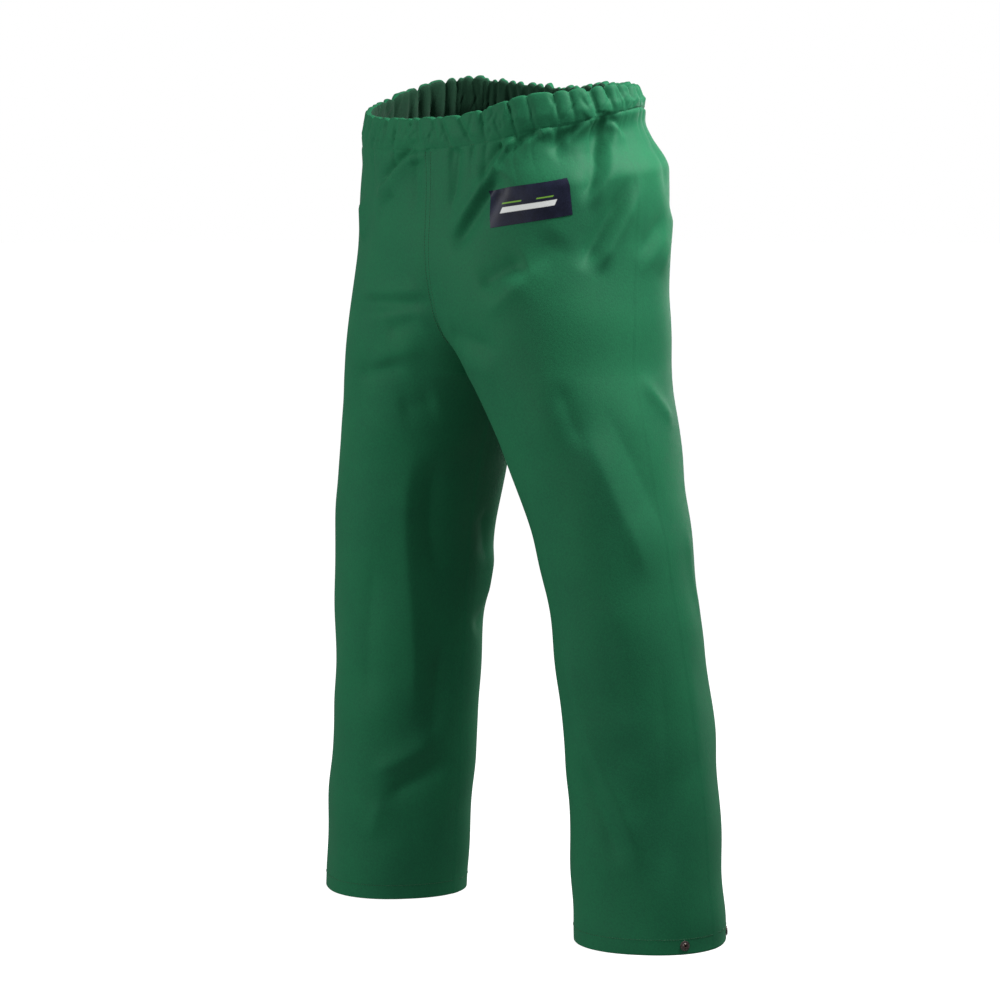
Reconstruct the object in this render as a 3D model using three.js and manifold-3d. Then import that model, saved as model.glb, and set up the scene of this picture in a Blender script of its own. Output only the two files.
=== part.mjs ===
// Pull-on waterproof work trousers with an elasticated waist, in millimetres.
// +Z is up, the wearer faces -Y and the wearer's left is +X. The origin is on the floor, under
// the middle of the whole garment, which stands on its two hems in the shape it has when worn.
//
// The cloth, tapes, elastic and stitches are all described on one surface, the outside of the
// cloth. A place is a row (how far up), a column (how far round a panel) and a depth (how far in
// from the outside), so neighbours stay parallel, whatever the sizes.
import * as THREE from "three";
import { mergeVertices } from "three/addons/utils/BufferGeometryUtils.js";
import Module from "manifold-3d";

const wasm = await Module();
wasm.setup();

// ---- Driving dimensions ----------------------------------------------------------------------

const SIDE_LENGTH = 1039; // floor to waist edge, at the side
const INSEAM = 700; // floor to crotch
const WAIST_TILT = 0.17; // rise of the waist edge for each millimetre towards the back
const LEG_TURN = 34; // degrees that a leg's oval turns outwards, reached at the knee
const SEAM_DRIFT = 10; // degrees that the leg seams drift backwards by the hem

// Half width, half depth, how far out the oval's centre is, and how far back it is.
// "up" is a share of the leg for the first four stations and of the rise for the others.
const STATIONS = [
  { part: "leg", up: 0, halfWidth: 94, halfDepth: 94, out: 226, back: 14 }, // hem
  { part: "leg", up: 0.43, halfWidth: 92, halfDepth: 98, out: 200, back: 11 }, // knee
  { part: "leg", up: 0.81, halfWidth: 98, halfDepth: 114, out: 156, back: -3 }, // thigh
  { part: "leg", up: 1, halfWidth: 113, halfDepth: 130, out: 113.15, back: -11 }, // crotch
  { part: "rise", up: 0.24, halfWidth: 149, halfDepth: 142, out: 74, back: -7 }, // seat
  { part: "rise", up: 0.5, halfWidth: 185, halfDepth: 146, out: 33, back: -2 }, // hip
  { part: "rise", up: 0.77, halfWidth: 208, halfDepth: 140, out: 9, back: -5 }, // high hip
  { part: "rise", up: 1, halfWidth: 201, halfDepth: 127, out: 0, back: -17 }, // waist
];
const OVAL_POWER = 0.9; // under 1 squares the oval a little

const CLOTH = 1; // thickness of one layer of coated cloth
const SEAM_GAP = 0.3; // between two pieces that touch
const HEM_DEPTH = 22; // cloth turned up and stitched at the foot
const CASING_DEPTH = 46; // cloth turned over and stitched at the waist
const ELASTIC_EASE = 1; // above and below the elastic in its tunnel
const ELASTIC_THICKNESS = 1.5;
const TAPE_WIDTH = 20; // seam tape
const TAPE_THICKNESS = 0.4;
const TAPE_STOP = 24; // how far from the crotch the tapes stop
const THREAD_WIDTH = 0.9;
const THREAD_HEIGHT = 0.6;
const TWIN_NEEDLE = 7; // between the two stitch rows of the front and back seams
const HEM_STITCH_DROP = 2.5; // stitch row below the hem's raw edge
const CASING_STITCH_RISE = 2.5; // stitch row above the casing's raw edge

const LABEL_WIDTH = 103;
const LABEL_HEIGHT = 50;
const LABEL_THICKNESS = 0.6;
const LABEL_FROM_SEAM = 149; // label's middle from the front seam
const LABEL_FROM_WAIST = 115; // label's middle below the waist edge
const LABEL_SLANT = 7; // degrees that its outer end is raised

const SNAP_FROM_SIDE_SEAM = 52; // stud in front of the side seam, cap behind it
const SNAP_RADIUS = 6.2;
const SNAP_POST_RADIUS = 2;
const SNAP_WALL = 0.6; // pressed sheet
const STUD_RADIUS = 3.3;
const STUD_HEIGHT = 2.6;
const SOCKET_HEIGHT = 2.6;

// ---- The surface ------------------------------------------------------------------------------

const DEGREE = Math.PI / 180;
const TUNNEL = ELASTIC_THICKNESS + 2 * SEAM_GAP; // between the two layers of the casing

function smoothStep(low, high, value) {
  const t = Math.min(1, Math.max(0, (value - low) / (high - low)));
  return t * t * (3 - 2 * t);
}

const stationHeights = STATIONS.map(({ part, up }) =>
  part === "leg" ? up * INSEAM : INSEAM + up * (SIDE_LENGTH - INSEAM),
);
const profile = new THREE.CubicInterpolant(
  stationHeights,
  STATIONS.flatMap((s) => [s.halfWidth, s.halfDepth, s.out, s.back]),
  4,
);

// The oval of the left half at a height, and the angles at which its seams lie. Angles run from
// the inside of the leg, through the front (-90), the side (0) and the back (90).
function ovalAt(height) {
  const [halfWidth, halfDepth, middle, back] = profile.evaluate(height);
  const isLeg = height <= INSEAM;
  const below = Math.max(0, INSEAM - height);
  const out = isLeg ? Math.max(middle, halfWidth + SEAM_GAP / 2) : Math.min(middle, halfWidth);
  const turn = LEG_TURN * DEGREE * Math.min(1, below / (0.57 * INSEAM));
  const drift = (SEAM_DRIFT * DEGREE * below) / INSEAM;
  const oval = { halfWidth, halfDepth, out, back, turn, height };
  if (isLeg) {
    oval.front = -Math.PI - drift - turn;
    oval.side = drift - turn;
    oval.rear = Math.PI - drift - turn;
  } else {
    // Above the crotch the oval is cut off at the garment's middle plane.
    const cut = Math.min(1, Math.max(0, (out - SEAM_GAP / 2) / halfWidth)) ** (1 / OVAL_POWER);
    oval.front = -Math.PI + Math.acos(cut);
    oval.side = 0;
    oval.rear = -oval.front;
  }
  return oval;
}

function pointOn(oval, angle) {
  const c = Math.cos(angle);
  const s = Math.sin(angle);
  const x = oval.halfWidth * Math.sign(c) * Math.abs(c) ** OVAL_POWER;
  const y = oval.halfDepth * Math.sign(s) * Math.abs(s) ** OVAL_POWER;
  const across = oval.out + x * Math.cos(oval.turn) - y * Math.sin(oval.turn);
  const back = oval.back + x * Math.sin(oval.turn) + y * Math.cos(oval.turn);
  const tilt = WAIST_TILT * smoothStep(INSEAM, SIDE_LENGTH, oval.height);
  return new THREE.Vector3(across, back, oval.height + tilt * back);
}

// Outward direction, from two short steps along the surface.
function outwardOn(height, angle) {
  const step = 0.5;
  const turnStep = 0.004;
  const low = ovalAt(height - step);
  const high = ovalAt(height + step);
  const up = pointOn(high, angle).sub(pointOn(low, angle));
  const oval = ovalAt(height);
  const round = pointOn(oval, angle + turnStep).sub(pointOn(oval, angle - turnStep));
  return round.cross(up).normalize();
}

// ---- Rows and columns -------------------------------------------------------------------------

const LEG_ROWS = 9;
const RISE_ROWS = 8;
const PLAIN_COLUMNS = 7;
const ARC_SAMPLES = 120;

const casingFoot = SIDE_LENGTH - CASING_DEPTH;
const rowHeights = [0];
for (let i = 0; i <= LEG_ROWS; i++) {
  rowHeights.push(HEM_DEPTH + ((INSEAM - HEM_DEPTH) * i) / LEG_ROWS);
}
for (let i = 1; i <= RISE_ROWS; i++) {
  rowHeights.push(INSEAM + (casingFoot - INSEAM) * (i / RISE_ROWS) ** 2);
}
rowHeights.push(SIDE_LENGTH);
const HEM_ROW = 1;
const CROTCH_ROW = 1 + LEG_ROWS;
const CASING_ROW = CROTCH_ROW + RISE_ROWS;
const TOP_ROW = CASING_ROW + 1;

// Distances of the columns from a panel's middle seam, for a panel of this length round.
function columnDistances(length) {
  const snapPad = 2 * SNAP_RADIUS;
  const edge = SEAM_GAP / 2;
  const first = TAPE_WIDTH / 2;
  const last = length - SNAP_FROM_SIDE_SEAM - snapPad;
  const distances = [edge];
  for (let i = 0; i <= PLAIN_COLUMNS; i++) {
    distances.push(first + ((last - first) * i) / PLAIN_COLUMNS);
  }
  distances.push(length - SNAP_FROM_SIDE_SEAM + snapPad);
  distances.push(length - TAPE_WIDTH / 2);
  distances.push(length - edge);
  return distances;
}
const SNAP_CELL = PLAIN_COLUMNS + 1;
const TAPE_CELL = PLAIN_COLUMNS + 3;
const LAST_COLUMN = PLAIN_COLUMNS + 4;

// The grid of one panel of the left half: for each column, a point and an outward direction in
// each row. Column 0 is at the middle seam, the last column at the side seam.
function panelGrid(isFront) {
  const grid = Array.from({ length: LAST_COLUMN + 1 }, () => []);
  for (const height of rowHeights) {
    const oval = ovalAt(height);
    const from = isFront ? oval.front : oval.rear;
    const lengths = [0];
    let previous = pointOn(oval, from);
    for (let i = 1; i <= ARC_SAMPLES; i++) {
      const point = pointOn(oval, from + ((oval.side - from) * i) / ARC_SAMPLES);
      lengths.push(lengths[i - 1] + point.distanceTo(previous));
      previous = point;
    }
    columnDistances(lengths[ARC_SAMPLES]).forEach((distance, column) => {
      const next = lengths.findIndex((length) => length >= distance);
      const share = (distance - lengths[next - 1]) / (lengths[next] - lengths[next - 1]);
      const angle = from + ((oval.side - from) * (next - 1 + share)) / ARC_SAMPLES;
      const point = pointOn(oval, angle);
      point.x = Math.max(point.x, SEAM_GAP / 2);
      const outward = outwardOn(height, angle);
      if (height === 0) outward.setZ(0).normalize(); // so the foot of the hem is flat
      grid[column].push({ point, outward });
    });
  }
  return grid;
}

const leftGrids = { front: panelGrid(true), back: panelGrid(false) };

// The place at a column, row and depth of a panel, between grid points if they aren't whole. Its
// order tells slab() which way to split a four-sided face, so that neighbours split alike.
function placeOn(side, panel, column, row, depth) {
  const grid = leftGrids[panel];
  const c = Math.min(LAST_COLUMN - 1, Math.floor(column));
  const r = Math.min(TOP_ROW - 1, Math.floor(row));
  const place = new THREE.Vector3();
  for (const [i, shareColumn] of [[c, 1 - (column - c)], [c + 1, column - c]]) {
    for (const [j, shareRow] of [[r, 1 - (row - r)], [r + 1, row - r]]) {
      const { point, outward } = grid[i][j];
      place.addScaledVector(point, shareColumn * shareRow);
      place.addScaledVector(outward, -depth * shareColumn * shareRow);
    }
  }
  place.x *= side === "left" ? 1 : -1;
  place.order = column + row;
  return place;
}

// The row, as a fraction between whole rows, at a height.
function rowAt(height) {
  const next = Math.max(1, rowHeights.findIndex((h) => h >= height));
  return next - 1 + (height - rowHeights[next - 1]) / (rowHeights[next] - rowHeights[next - 1]);
}

// ---- Making solids ----------------------------------------------------------------------------

function geometryOf(points, triangles) {
  const geometry = new THREE.BufferGeometry().setFromPoints(points);
  let volume = 0;
  for (const [a, b, c] of triangles) {
    volume += points[a].dot(new THREE.Vector3().crossVectors(points[b], points[c]));
  }
  const outward = volume > 0 ? triangles : triangles.map(([a, b, c]) => [a, c, b]);
  geometry.setIndex(outward.flat());
  geometry.computeVertexNormals();
  return geometry;
}

const STEPS = [
  [1, 0, 0],
  [0, 1, 0],
  [0, 0, 1],
];

// A solid between two or more edges, each a column of a panel, that covers these rows and depths.
// Its cells can be left out, and a loop joins its last edge to its first.
function slab(edges, rows, depthsAt, { isLoop = false, hasCell = () => true } = {}) {
  const depthCount = depthsAt(rows[0]).length;
  const points = edges.flatMap(({ side, panel, column }) =>
    rows.flatMap((row) => depthsAt(row).map((depth) => placeOn(side, panel, column, row, depth))),
  );
  const indexOf = ([i, j, k]) => ((i % edges.length) * rows.length + j) * depthCount + k;
  const cells = [isLoop ? edges.length : edges.length - 1, rows.length - 1, depthCount - 1];
  const isFilled = ([i, j, k]) =>
    (isLoop || (i >= 0 && i < cells[0])) &&
    j >= 0 &&
    j < cells[1] &&
    k >= 0 &&
    k < cells[2] &&
    hasCell(j, k);
  const plus = (cell, ...steps) =>
    cell.map((value, axis) => steps.reduce((sum, step) => sum + step[axis], value));

  const triangles = [];
  const addFace = (corners) => {
    const orders = corners.map((corner) => points[corner].order);
    if (orders.indexOf(Math.min(...orders)) % 2) corners.push(corners.shift());
    const [a, b, c, d] = corners;
    triangles.push([a, b, c], [a, c, d]);
  };
  for (let i = 0; i < cells[0]; i++) {
    for (let j = 0; j < cells[1]; j++) {
      for (let k = 0; k < cells[2]; k++) {
        const cell = [i, j, k];
        if (!isFilled(cell)) continue;
        STEPS.forEach((step, axis) => {
          const first = STEPS[(axis + 1) % 3];
          const second = STEPS[(axis + 2) % 3];
          const far = plus(cell, step);
          const back = step.map((value) => -value);
          const cornersFrom = (start) =>
            [start, plus(start, first), plus(start, first, second), plus(start, second)].map(indexOf);
          if (!isFilled(far)) addFace(cornersFrom(far));
          if (!isFilled(plus(cell, back))) addFace(cornersFrom(cell).reverse());
        });
      }
    }
  }
  return geometryOf(points, triangles);
}

function toManifold(geometry) {
  const bare = geometry.clone();
  bare.deleteAttribute("normal");
  if (bare.attributes.uv) bare.deleteAttribute("uv");
  const merged = mergeVertices(bare, 1e-4);
  return new wasm.Manifold(
    new wasm.Mesh({
      numProp: 3,
      vertProperties: merged.attributes.position.array,
      triVerts: new Uint32Array(merged.index.array),
    }),
  );
}

function fromManifold(solid) {
  const mesh = solid.getMesh();
  const geometry = new THREE.BufferGeometry();
  geometry.setAttribute("position", new THREE.BufferAttribute(mesh.vertProperties, 3));
  geometry.setIndex(new THREE.BufferAttribute(mesh.triVerts, 1));
  geometry.computeVertexNormals();
  return geometry;
}

const garment = new THREE.Group();

function add(name, geometry, material) {
  const mesh = new THREE.Mesh(geometry, material);
  mesh.name = name;
  garment.add(mesh);
  return mesh;
}

const CLOTH_GREEN = new THREE.MeshStandardMaterial({ color: 0x1f6b3f, roughness: 0.62 });
const THREAD_GREEN = new THREE.MeshStandardMaterial({ color: 0x17502f, roughness: 0.7 });
const ELASTIC_WHITE = new THREE.MeshStandardMaterial({ color: 0xd8d6cc, roughness: 0.85 });
const TAPE_CLEAR = new THREE.MeshStandardMaterial({ color: 0x2d5a44, roughness: 0.35 });
const LABEL_NAVY = new THREE.MeshStandardMaterial({ color: 0x14172a, roughness: 0.45 });
const SNAP_METAL = new THREE.MeshStandardMaterial({
  color: 0x4a3a36,
  roughness: 0.4,
  metalness: 0.9,
});

const SIDES = ["left", "right"];
const PANELS = ["front", "back"];
const allColumns = Array.from({ length: LAST_COLUMN + 1 }, (_, i) => i);

// ---- Panels -----------------------------------------------------------------------------------

const tunnelFoot = casingFoot + 2 * CASING_STITCH_RISE;
const tunnelTop = SIDE_LENGTH - CLOTH;

// The cloth, doubled by the hem at its foot and turned over at its top, which leaves a tunnel for
// the elastic. The turned layer lies on the cloth at its stitched edge.
function panelGeometry(side, panel) {
  const edges = allColumns.map((column) => ({ side, panel, column }));
  const rows = [...rowHeights.keys(), rowAt(tunnelFoot), rowAt(tunnelTop)].sort((a, b) => a - b);
  const depthsAt = (row) => {
    if (row < CASING_ROW) return [0, CLOTH, 2 * CLOTH, 3 * CLOTH];
    const between = row > CASING_ROW ? TUNNEL : SEAM_GAP;
    return [0, CLOTH, CLOTH + between, 2 * CLOTH + between];
  };
  const hasCell = (j, k) => {
    const isHem = rows[j] < HEM_ROW;
    const isCasing = rows[j] >= CASING_ROW;
    const isTunnel = isCasing && rows[j] >= rowAt(tunnelFoot) && rows[j] < rowAt(tunnelTop);
    return k === 0 || (k === 1 && (isHem || (isCasing && !isTunnel))) || (k === 2 && isCasing);
  };
  return slab(edges, rows, depthsAt, { hasCell });
}

// ---- Snap fasteners ---------------------------------------------------------------------------

// The frame of a snap, at the middle of its cell of the hem: +Z out of the cloth, and the cloth's
// outside at z 0. The stud is on the front panel and the cap on the back panel.
function snapFrame(side, panel) {
  const column = SNAP_CELL + 0.5;
  const row = 0.5;
  const middle = placeOn(side, panel, column, row, 0);
  const round = placeOn(side, panel, column + 0.4, row, 0).sub(
    placeOn(side, panel, column - 0.4, row, 0),
  );
  const up = placeOn(side, panel, column, row + 0.4, 0).sub(
    placeOn(side, panel, column, row - 0.4, 0),
  );
  const outward = new THREE.Vector3().crossVectors(round, up).normalize();
  const towardsBody = placeOn(side, panel, column, row, 1).sub(middle);
  if (outward.dot(towardsBody) > 0) outward.negate();
  const turn = new THREE.Quaternion().setFromUnitVectors(new THREE.Vector3(0, 0, 1), outward);
  return new THREE.Matrix4().compose(middle, turn, new THREE.Vector3(1, 1, 1));
}

const SNAP_FACES = 16;
const hemInside = -2 * CLOTH; // the hem's inside face, in a snap's frame
const holeRadius = SNAP_POST_RADIUS + SEAM_GAP;

// A turned piece about its own Z axis, from radius and height pairs that close on themselves.
function turned(pairs) {
  const outline = [...pairs, pairs[0]].map(([radius, height]) => new THREE.Vector2(radius, height));
  const geometry = new THREE.LatheGeometry(outline, SNAP_FACES);
  geometry.rotateX(Math.PI / 2);
  const solid = toManifold(geometry);
  return solid.volume() > 0 ? geometry : flipped(geometry);
}

function flipped(geometry) {
  const index = geometry.index.array;
  for (let i = 1; i < index.length; i += 3) {
    [index[i], index[i + 1]] = [index[i + 1], index[i]];
  }
  geometry.computeVertexNormals();
  return geometry;
}

// The stud stands outside the cloth on an eyelet whose flange is inside and whose tube comes
// through the cloth and the stud and curls over it.
function studGeometry() {
  const bore = SNAP_POST_RADIUS + SEAM_GAP;
  const foot = SEAM_GAP;
  return turned([
    [bore, foot],
    [SNAP_RADIUS, foot],
    [SNAP_RADIUS, foot + SNAP_WALL],
    [STUD_RADIUS, foot + SNAP_WALL],
    [STUD_RADIUS - 0.3, foot + 0.5 * STUD_HEIGHT],
    [STUD_RADIUS, foot + 0.8 * STUD_HEIGHT],
    [STUD_RADIUS - 0.4, foot + STUD_HEIGHT],
    [bore, foot + STUD_HEIGHT],
  ]);
}

function eyeletGeometry() {
  const tubeBore = SNAP_POST_RADIUS - SNAP_WALL;
  const flange = hemInside - SEAM_GAP;
  const curl = 2 * SEAM_GAP + STUD_HEIGHT;
  return turned([
    [tubeBore, flange - SNAP_WALL],
    [SNAP_RADIUS, flange - SNAP_WALL],
    [SNAP_RADIUS, flange],
    [SNAP_POST_RADIUS, flange],
    [SNAP_POST_RADIUS, curl],
    [STUD_RADIUS - 0.4, curl],
    [STUD_RADIUS - 0.6, curl + SNAP_WALL],
    [tubeBore, curl + SNAP_WALL],
  ]);
}

// The cap is a shallow dome outside the cloth with a post through it, and the socket is clenched
// on the post's end inside.
function capGeometry() {
  const rim = SEAM_GAP;
  return turned([
    [0.001, rim + 1.6],
    [0.001, hemInside - SEAM_GAP - 0.6 * SOCKET_HEIGHT],
    [SNAP_POST_RADIUS, hemInside - SEAM_GAP - 0.6 * SOCKET_HEIGHT],
    [SNAP_POST_RADIUS, rim],
    [SNAP_RADIUS, rim],
    [SNAP_RADIUS, rim + SNAP_WALL],
    [0.75 * SNAP_RADIUS, rim + 1.3],
    [0.4 * SNAP_RADIUS, rim + 1.6],
  ]);
}

function socketGeometry() {
  const top = hemInside - SEAM_GAP;
  const bore = SNAP_POST_RADIUS + SEAM_GAP;
  return turned([
    [bore, top],
    [bore, top - 0.4 * SOCKET_HEIGHT],
    [STUD_RADIUS, top - 0.6 * SOCKET_HEIGHT],
    [STUD_RADIUS, top - SOCKET_HEIGHT],
    [SNAP_RADIUS - 1.6, top - SOCKET_HEIGHT],
    [SNAP_RADIUS, top - SNAP_WALL],
    [SNAP_RADIUS, top],
  ]);
}

function punch(geometry, frame) {
  const drill = new THREE.CylinderGeometry(holeRadius, holeRadius, 8 * CLOTH, SNAP_FACES);
  drill.rotateX(Math.PI / 2);
  drill.applyMatrix4(frame);
  return fromManifold(toManifold(geometry).subtract(toManifold(drill)));
}

for (const side of SIDES) {
  for (const panel of PANELS) {
    const cloth = punch(panelGeometry(side, panel), snapFrame(side, panel));
    add(`${panel}_panel_${side}`, cloth, CLOTH_GREEN);
  }
  const studFrame = snapFrame(side, "front");
  const capFrame = snapFrame(side, "back");
  add(`snap_stud_${side}`, studGeometry().applyMatrix4(studFrame), SNAP_METAL);
  add(`snap_eyelet_${side}`, eyeletGeometry().applyMatrix4(studFrame), SNAP_METAL);
  add(`snap_cap_${side}`, capGeometry().applyMatrix4(capFrame), SNAP_METAL);
  add(`snap_socket_${side}`, socketGeometry().applyMatrix4(capFrame), SNAP_METAL);
}

// ---- Rings: elastic and stitch rows -------------------------------------------------------------

// Stops round one leg, and round the whole waist.
function legLoop(side) {
  const front = allColumns.map((column) => ({ side, panel: "front", column }));
  const back = allColumns.map((column) => ({ side, panel: "back", column }));
  return [...front, ...back.reverse()];
}
const waistLoop = [...legLoop("left"), ...legLoop("right").reverse()];

function ring(loop, heights, depths) {
  return slab(loop, heights.map(rowAt), () => depths, { isLoop: true });
}

const threadDepths = [-SEAM_GAP - THREAD_HEIGHT, -SEAM_GAP];
const elasticDepth = CLOTH + SEAM_GAP;
add(
  "waist_elastic",
  ring(
    waistLoop,
    [tunnelFoot + ELASTIC_EASE, tunnelTop - ELASTIC_EASE],
    [elasticDepth, elasticDepth + ELASTIC_THICKNESS],
  ),
  ELASTIC_WHITE,
);
const casingStitch = casingFoot + CASING_STITCH_RISE;
add(
  "waist_stitching",
  ring(waistLoop, [casingStitch, casingStitch + THREAD_WIDTH], threadDepths),
  THREAD_GREEN,
);
const hemStitch = HEM_DEPTH - HEM_STITCH_DROP;
for (const side of SIDES) {
  add(
    `hem_stitching_${side}`,
    ring(legLoop(side), [hemStitch - THREAD_WIDTH, hemStitch], threadDepths),
    THREAD_GREEN,
  );
}

// ---- Strips along the seams: tapes and twin stitch rows ---------------------------------------

function wholeRows(low, high) {
  return [...rowHeights.keys()].filter((row) => rowHeights[row] > low && rowHeights[row] < high);
}

const tapeDepths = [CLOTH + SEAM_GAP, CLOTH + SEAM_GAP + TAPE_THICKNESS];
const aboveHem = HEM_DEPTH + 1;
const belowCasing = casingFoot - 1;
const footRow = rowAt(aboveHem);
const headRow = rowAt(belowCasing);
const sideRows = [footRow, ...wholeRows(aboveHem, belowCasing), headRow];
const legRows = [footRow, ...wholeRows(aboveHem, INSEAM - TAPE_STOP)];
const riseRows = [...wholeRows(INSEAM + TAPE_STOP, belowCasing), headRow];
for (const side of SIDES) {
  const sideSeam = [
    { side, panel: "front", column: TAPE_CELL },
    { side, panel: "front", column: LAST_COLUMN },
    { side, panel: "back", column: LAST_COLUMN },
    { side, panel: "back", column: TAPE_CELL },
  ];
  const insideSeam = [
    { side, panel: "front", column: 1 },
    { side, panel: "front", column: 0 },
    { side, panel: "back", column: 0 },
    { side, panel: "back", column: 1 },
  ];
  add(`side_seam_tape_${side}`, slab(sideSeam, sideRows, () => tapeDepths), TAPE_CLEAR);
  add(`inside_leg_tape_${side}`, slab(insideSeam, legRows, () => tapeDepths), TAPE_CLEAR);
}
for (const panel of PANELS) {
  const middleSeam = [
    { side: "left", panel, column: 1 },
    { side: "left", panel, column: 0 },
    { side: "right", panel, column: 0 },
    { side: "right", panel, column: 1 },
  ];
  add(`${panel}_seam_tape`, slab(middleSeam, riseRows, () => tapeDepths), TAPE_CLEAR);
  for (const side of SIDES) {
    const perMillimetre = 1 / (TAPE_WIDTH / 2);
    const edges = [
      { side, panel, column: (TWIN_NEEDLE / 2 - THREAD_WIDTH / 2) * perMillimetre },
      { side, panel, column: (TWIN_NEEDLE / 2 + THREAD_WIDTH / 2) * perMillimetre },
    ];
    add(`${panel}_seam_stitching_${side}`, slab(edges, riseRows, () => threadDepths), THREAD_GREEN);
  }
}

// ---- Label ------------------------------------------------------------------------------------

// The place on the left front panel that is this far round from the middle seam, at a row.
function columnFrom(distance, row) {
  let travelled = 0;
  for (let column = 0; column < LAST_COLUMN; column++) {
    const here = placeOn("left", "front", column, row, 0);
    const step = here.distanceTo(placeOn("left", "front", column + 1, row, 0));
    if (travelled + step > distance) return column + (distance - travelled) / step;
    travelled += step;
  }
  return LAST_COLUMN;
}

// The label is sealed flat on the cloth: a rectangle cut out of a skin over the left front panel.
function labelGeometry() {
  const edges = allColumns.map((column) => ({ side: "left", panel: "front", column }));
  const rows = [...rowHeights.keys()].filter((row) => row > CROTCH_ROW);
  const skin = slab(edges, rows, () => [-SEAM_GAP - LABEL_THICKNESS, -SEAM_GAP]);

  const row = rowAt(SIDE_LENGTH - LABEL_FROM_WAIST);
  const column = columnFrom(LABEL_FROM_SEAM, row);
  const middle = placeOn("left", "front", column, row, 0);
  const outward = placeOn("left", "front", column, row, -1).sub(middle).normalize();
  const along = placeOn("left", "front", column + 0.5, row, 0)
    .sub(placeOn("left", "front", column - 0.5, row, 0))
    .normalize()
    .applyAxisAngle(outward, LABEL_SLANT * DEGREE);
  const upward = new THREE.Vector3().crossVectors(outward, along).normalize();
  const across = new THREE.Vector3().crossVectors(upward, outward);
  const frame = new THREE.Matrix4().makeBasis(across, upward, outward).setPosition(middle);
  const block = new THREE.BoxGeometry(LABEL_WIDTH, LABEL_HEIGHT, 0.5 * LABEL_WIDTH);
  return fromManifold(toManifold(skin).intersect(toManifold(block.applyMatrix4(frame))));
}

add("label_patch", labelGeometry(), LABEL_NAVY);

// Middle the garment front to back on the origin.
const box = new THREE.Box3().setFromObject(garment);
const middle = (box.min.y + box.max.y) / 2;
for (const mesh of garment.children) mesh.geometry.translate(0, -middle, 0);

export default garment;
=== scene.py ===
# %% [markdown]
# # Pull-on waterproof work trousers
#
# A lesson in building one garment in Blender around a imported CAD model. The trousers have four
# panels of coated cloth, a gathered casing with elastic in it, lapped seams with stitch rows,
# tape inside the seams, a sealed label on the left front and a snap fastener at each hem.
# The CAD model fixes the size. Blender adds what makes it look like cloth: gathers, drag folds,
# laps, single stitches and the finish of the coating.

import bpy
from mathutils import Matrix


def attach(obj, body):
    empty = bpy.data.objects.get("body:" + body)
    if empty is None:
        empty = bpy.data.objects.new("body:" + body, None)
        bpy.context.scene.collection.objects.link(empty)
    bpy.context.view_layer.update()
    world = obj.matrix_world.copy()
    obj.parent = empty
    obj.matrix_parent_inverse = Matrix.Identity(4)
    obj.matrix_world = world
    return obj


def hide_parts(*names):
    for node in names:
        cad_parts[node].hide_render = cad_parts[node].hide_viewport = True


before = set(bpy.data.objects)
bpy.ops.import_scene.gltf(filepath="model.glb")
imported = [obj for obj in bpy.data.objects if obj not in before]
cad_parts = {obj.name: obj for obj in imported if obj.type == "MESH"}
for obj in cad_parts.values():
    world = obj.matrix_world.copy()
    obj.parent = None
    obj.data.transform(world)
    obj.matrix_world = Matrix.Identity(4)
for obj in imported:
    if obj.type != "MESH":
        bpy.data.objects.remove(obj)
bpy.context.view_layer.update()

# %% [markdown]
# The other modules are Blender's own and numpy. Cloth is shaped by moving thousands of vertices
# at once, which numpy does in one sum where a loop over vertices would take minutes.

# %% Modules and small helpers
import math

import bpy
import numpy as np

MM = 0.001


def select_nothing():
    if bpy.context.object and bpy.context.object.mode != "OBJECT":
        bpy.ops.object.mode_set(mode="OBJECT")
    bpy.ops.object.select_all(action="DESELECT")


def smooth_step(low, high, value):
    share = np.clip((value - low) / (high - low), 0, 1)
    return share * share * (3 - 2 * share)


# %% [markdown]
# The camera comes before the model, because every look at the work goes through it. It is a long
# lens well back from the trousers, a little above their middle and to the wearer's left front,
# so the legs keep their straight lines. Its place, turn and lens were fitted to the garment's
# outline by a separate program.

# %% Camera
CAMERA_PLACE = (2.6788, -2.7965, 0.873)
CAMERA_TURN = 0.767  # radians round the vertical
CAMERA_DOWN = 0.0872  # radians below level
LENS = 109.76

camera = bpy.data.objects.new("camera", bpy.data.cameras.new("camera"))
bpy.context.scene.collection.objects.link(camera)
camera.location = CAMERA_PLACE
camera.rotation_euler = (math.pi / 2 - CAMERA_DOWN, 0, CAMERA_TURN)
camera.data.lens = LENS
camera.data.sensor_width = 36
bpy.context.scene.camera = camera
print("camera", tuple(round(v, 3) for v in camera.location), "lens", LENS)

# %% [markdown]
# ## The shape under the folds
#
# Worn trousers are two tubes that join at the crotch into one. Each half is described by an oval
# at every height: its half width, its half depth, how far out and how far back its middle is.
# Only ten heights are given, and a curve that never overshoots runs between them. The legs turn
# outwards towards the knee, as feet do. The surface follows the CAD model's. The ovals, the side
# length, the tilt of the waist and the turn of the legs were fitted to the garment's outline by a
# separate program and then rounded.

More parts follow.
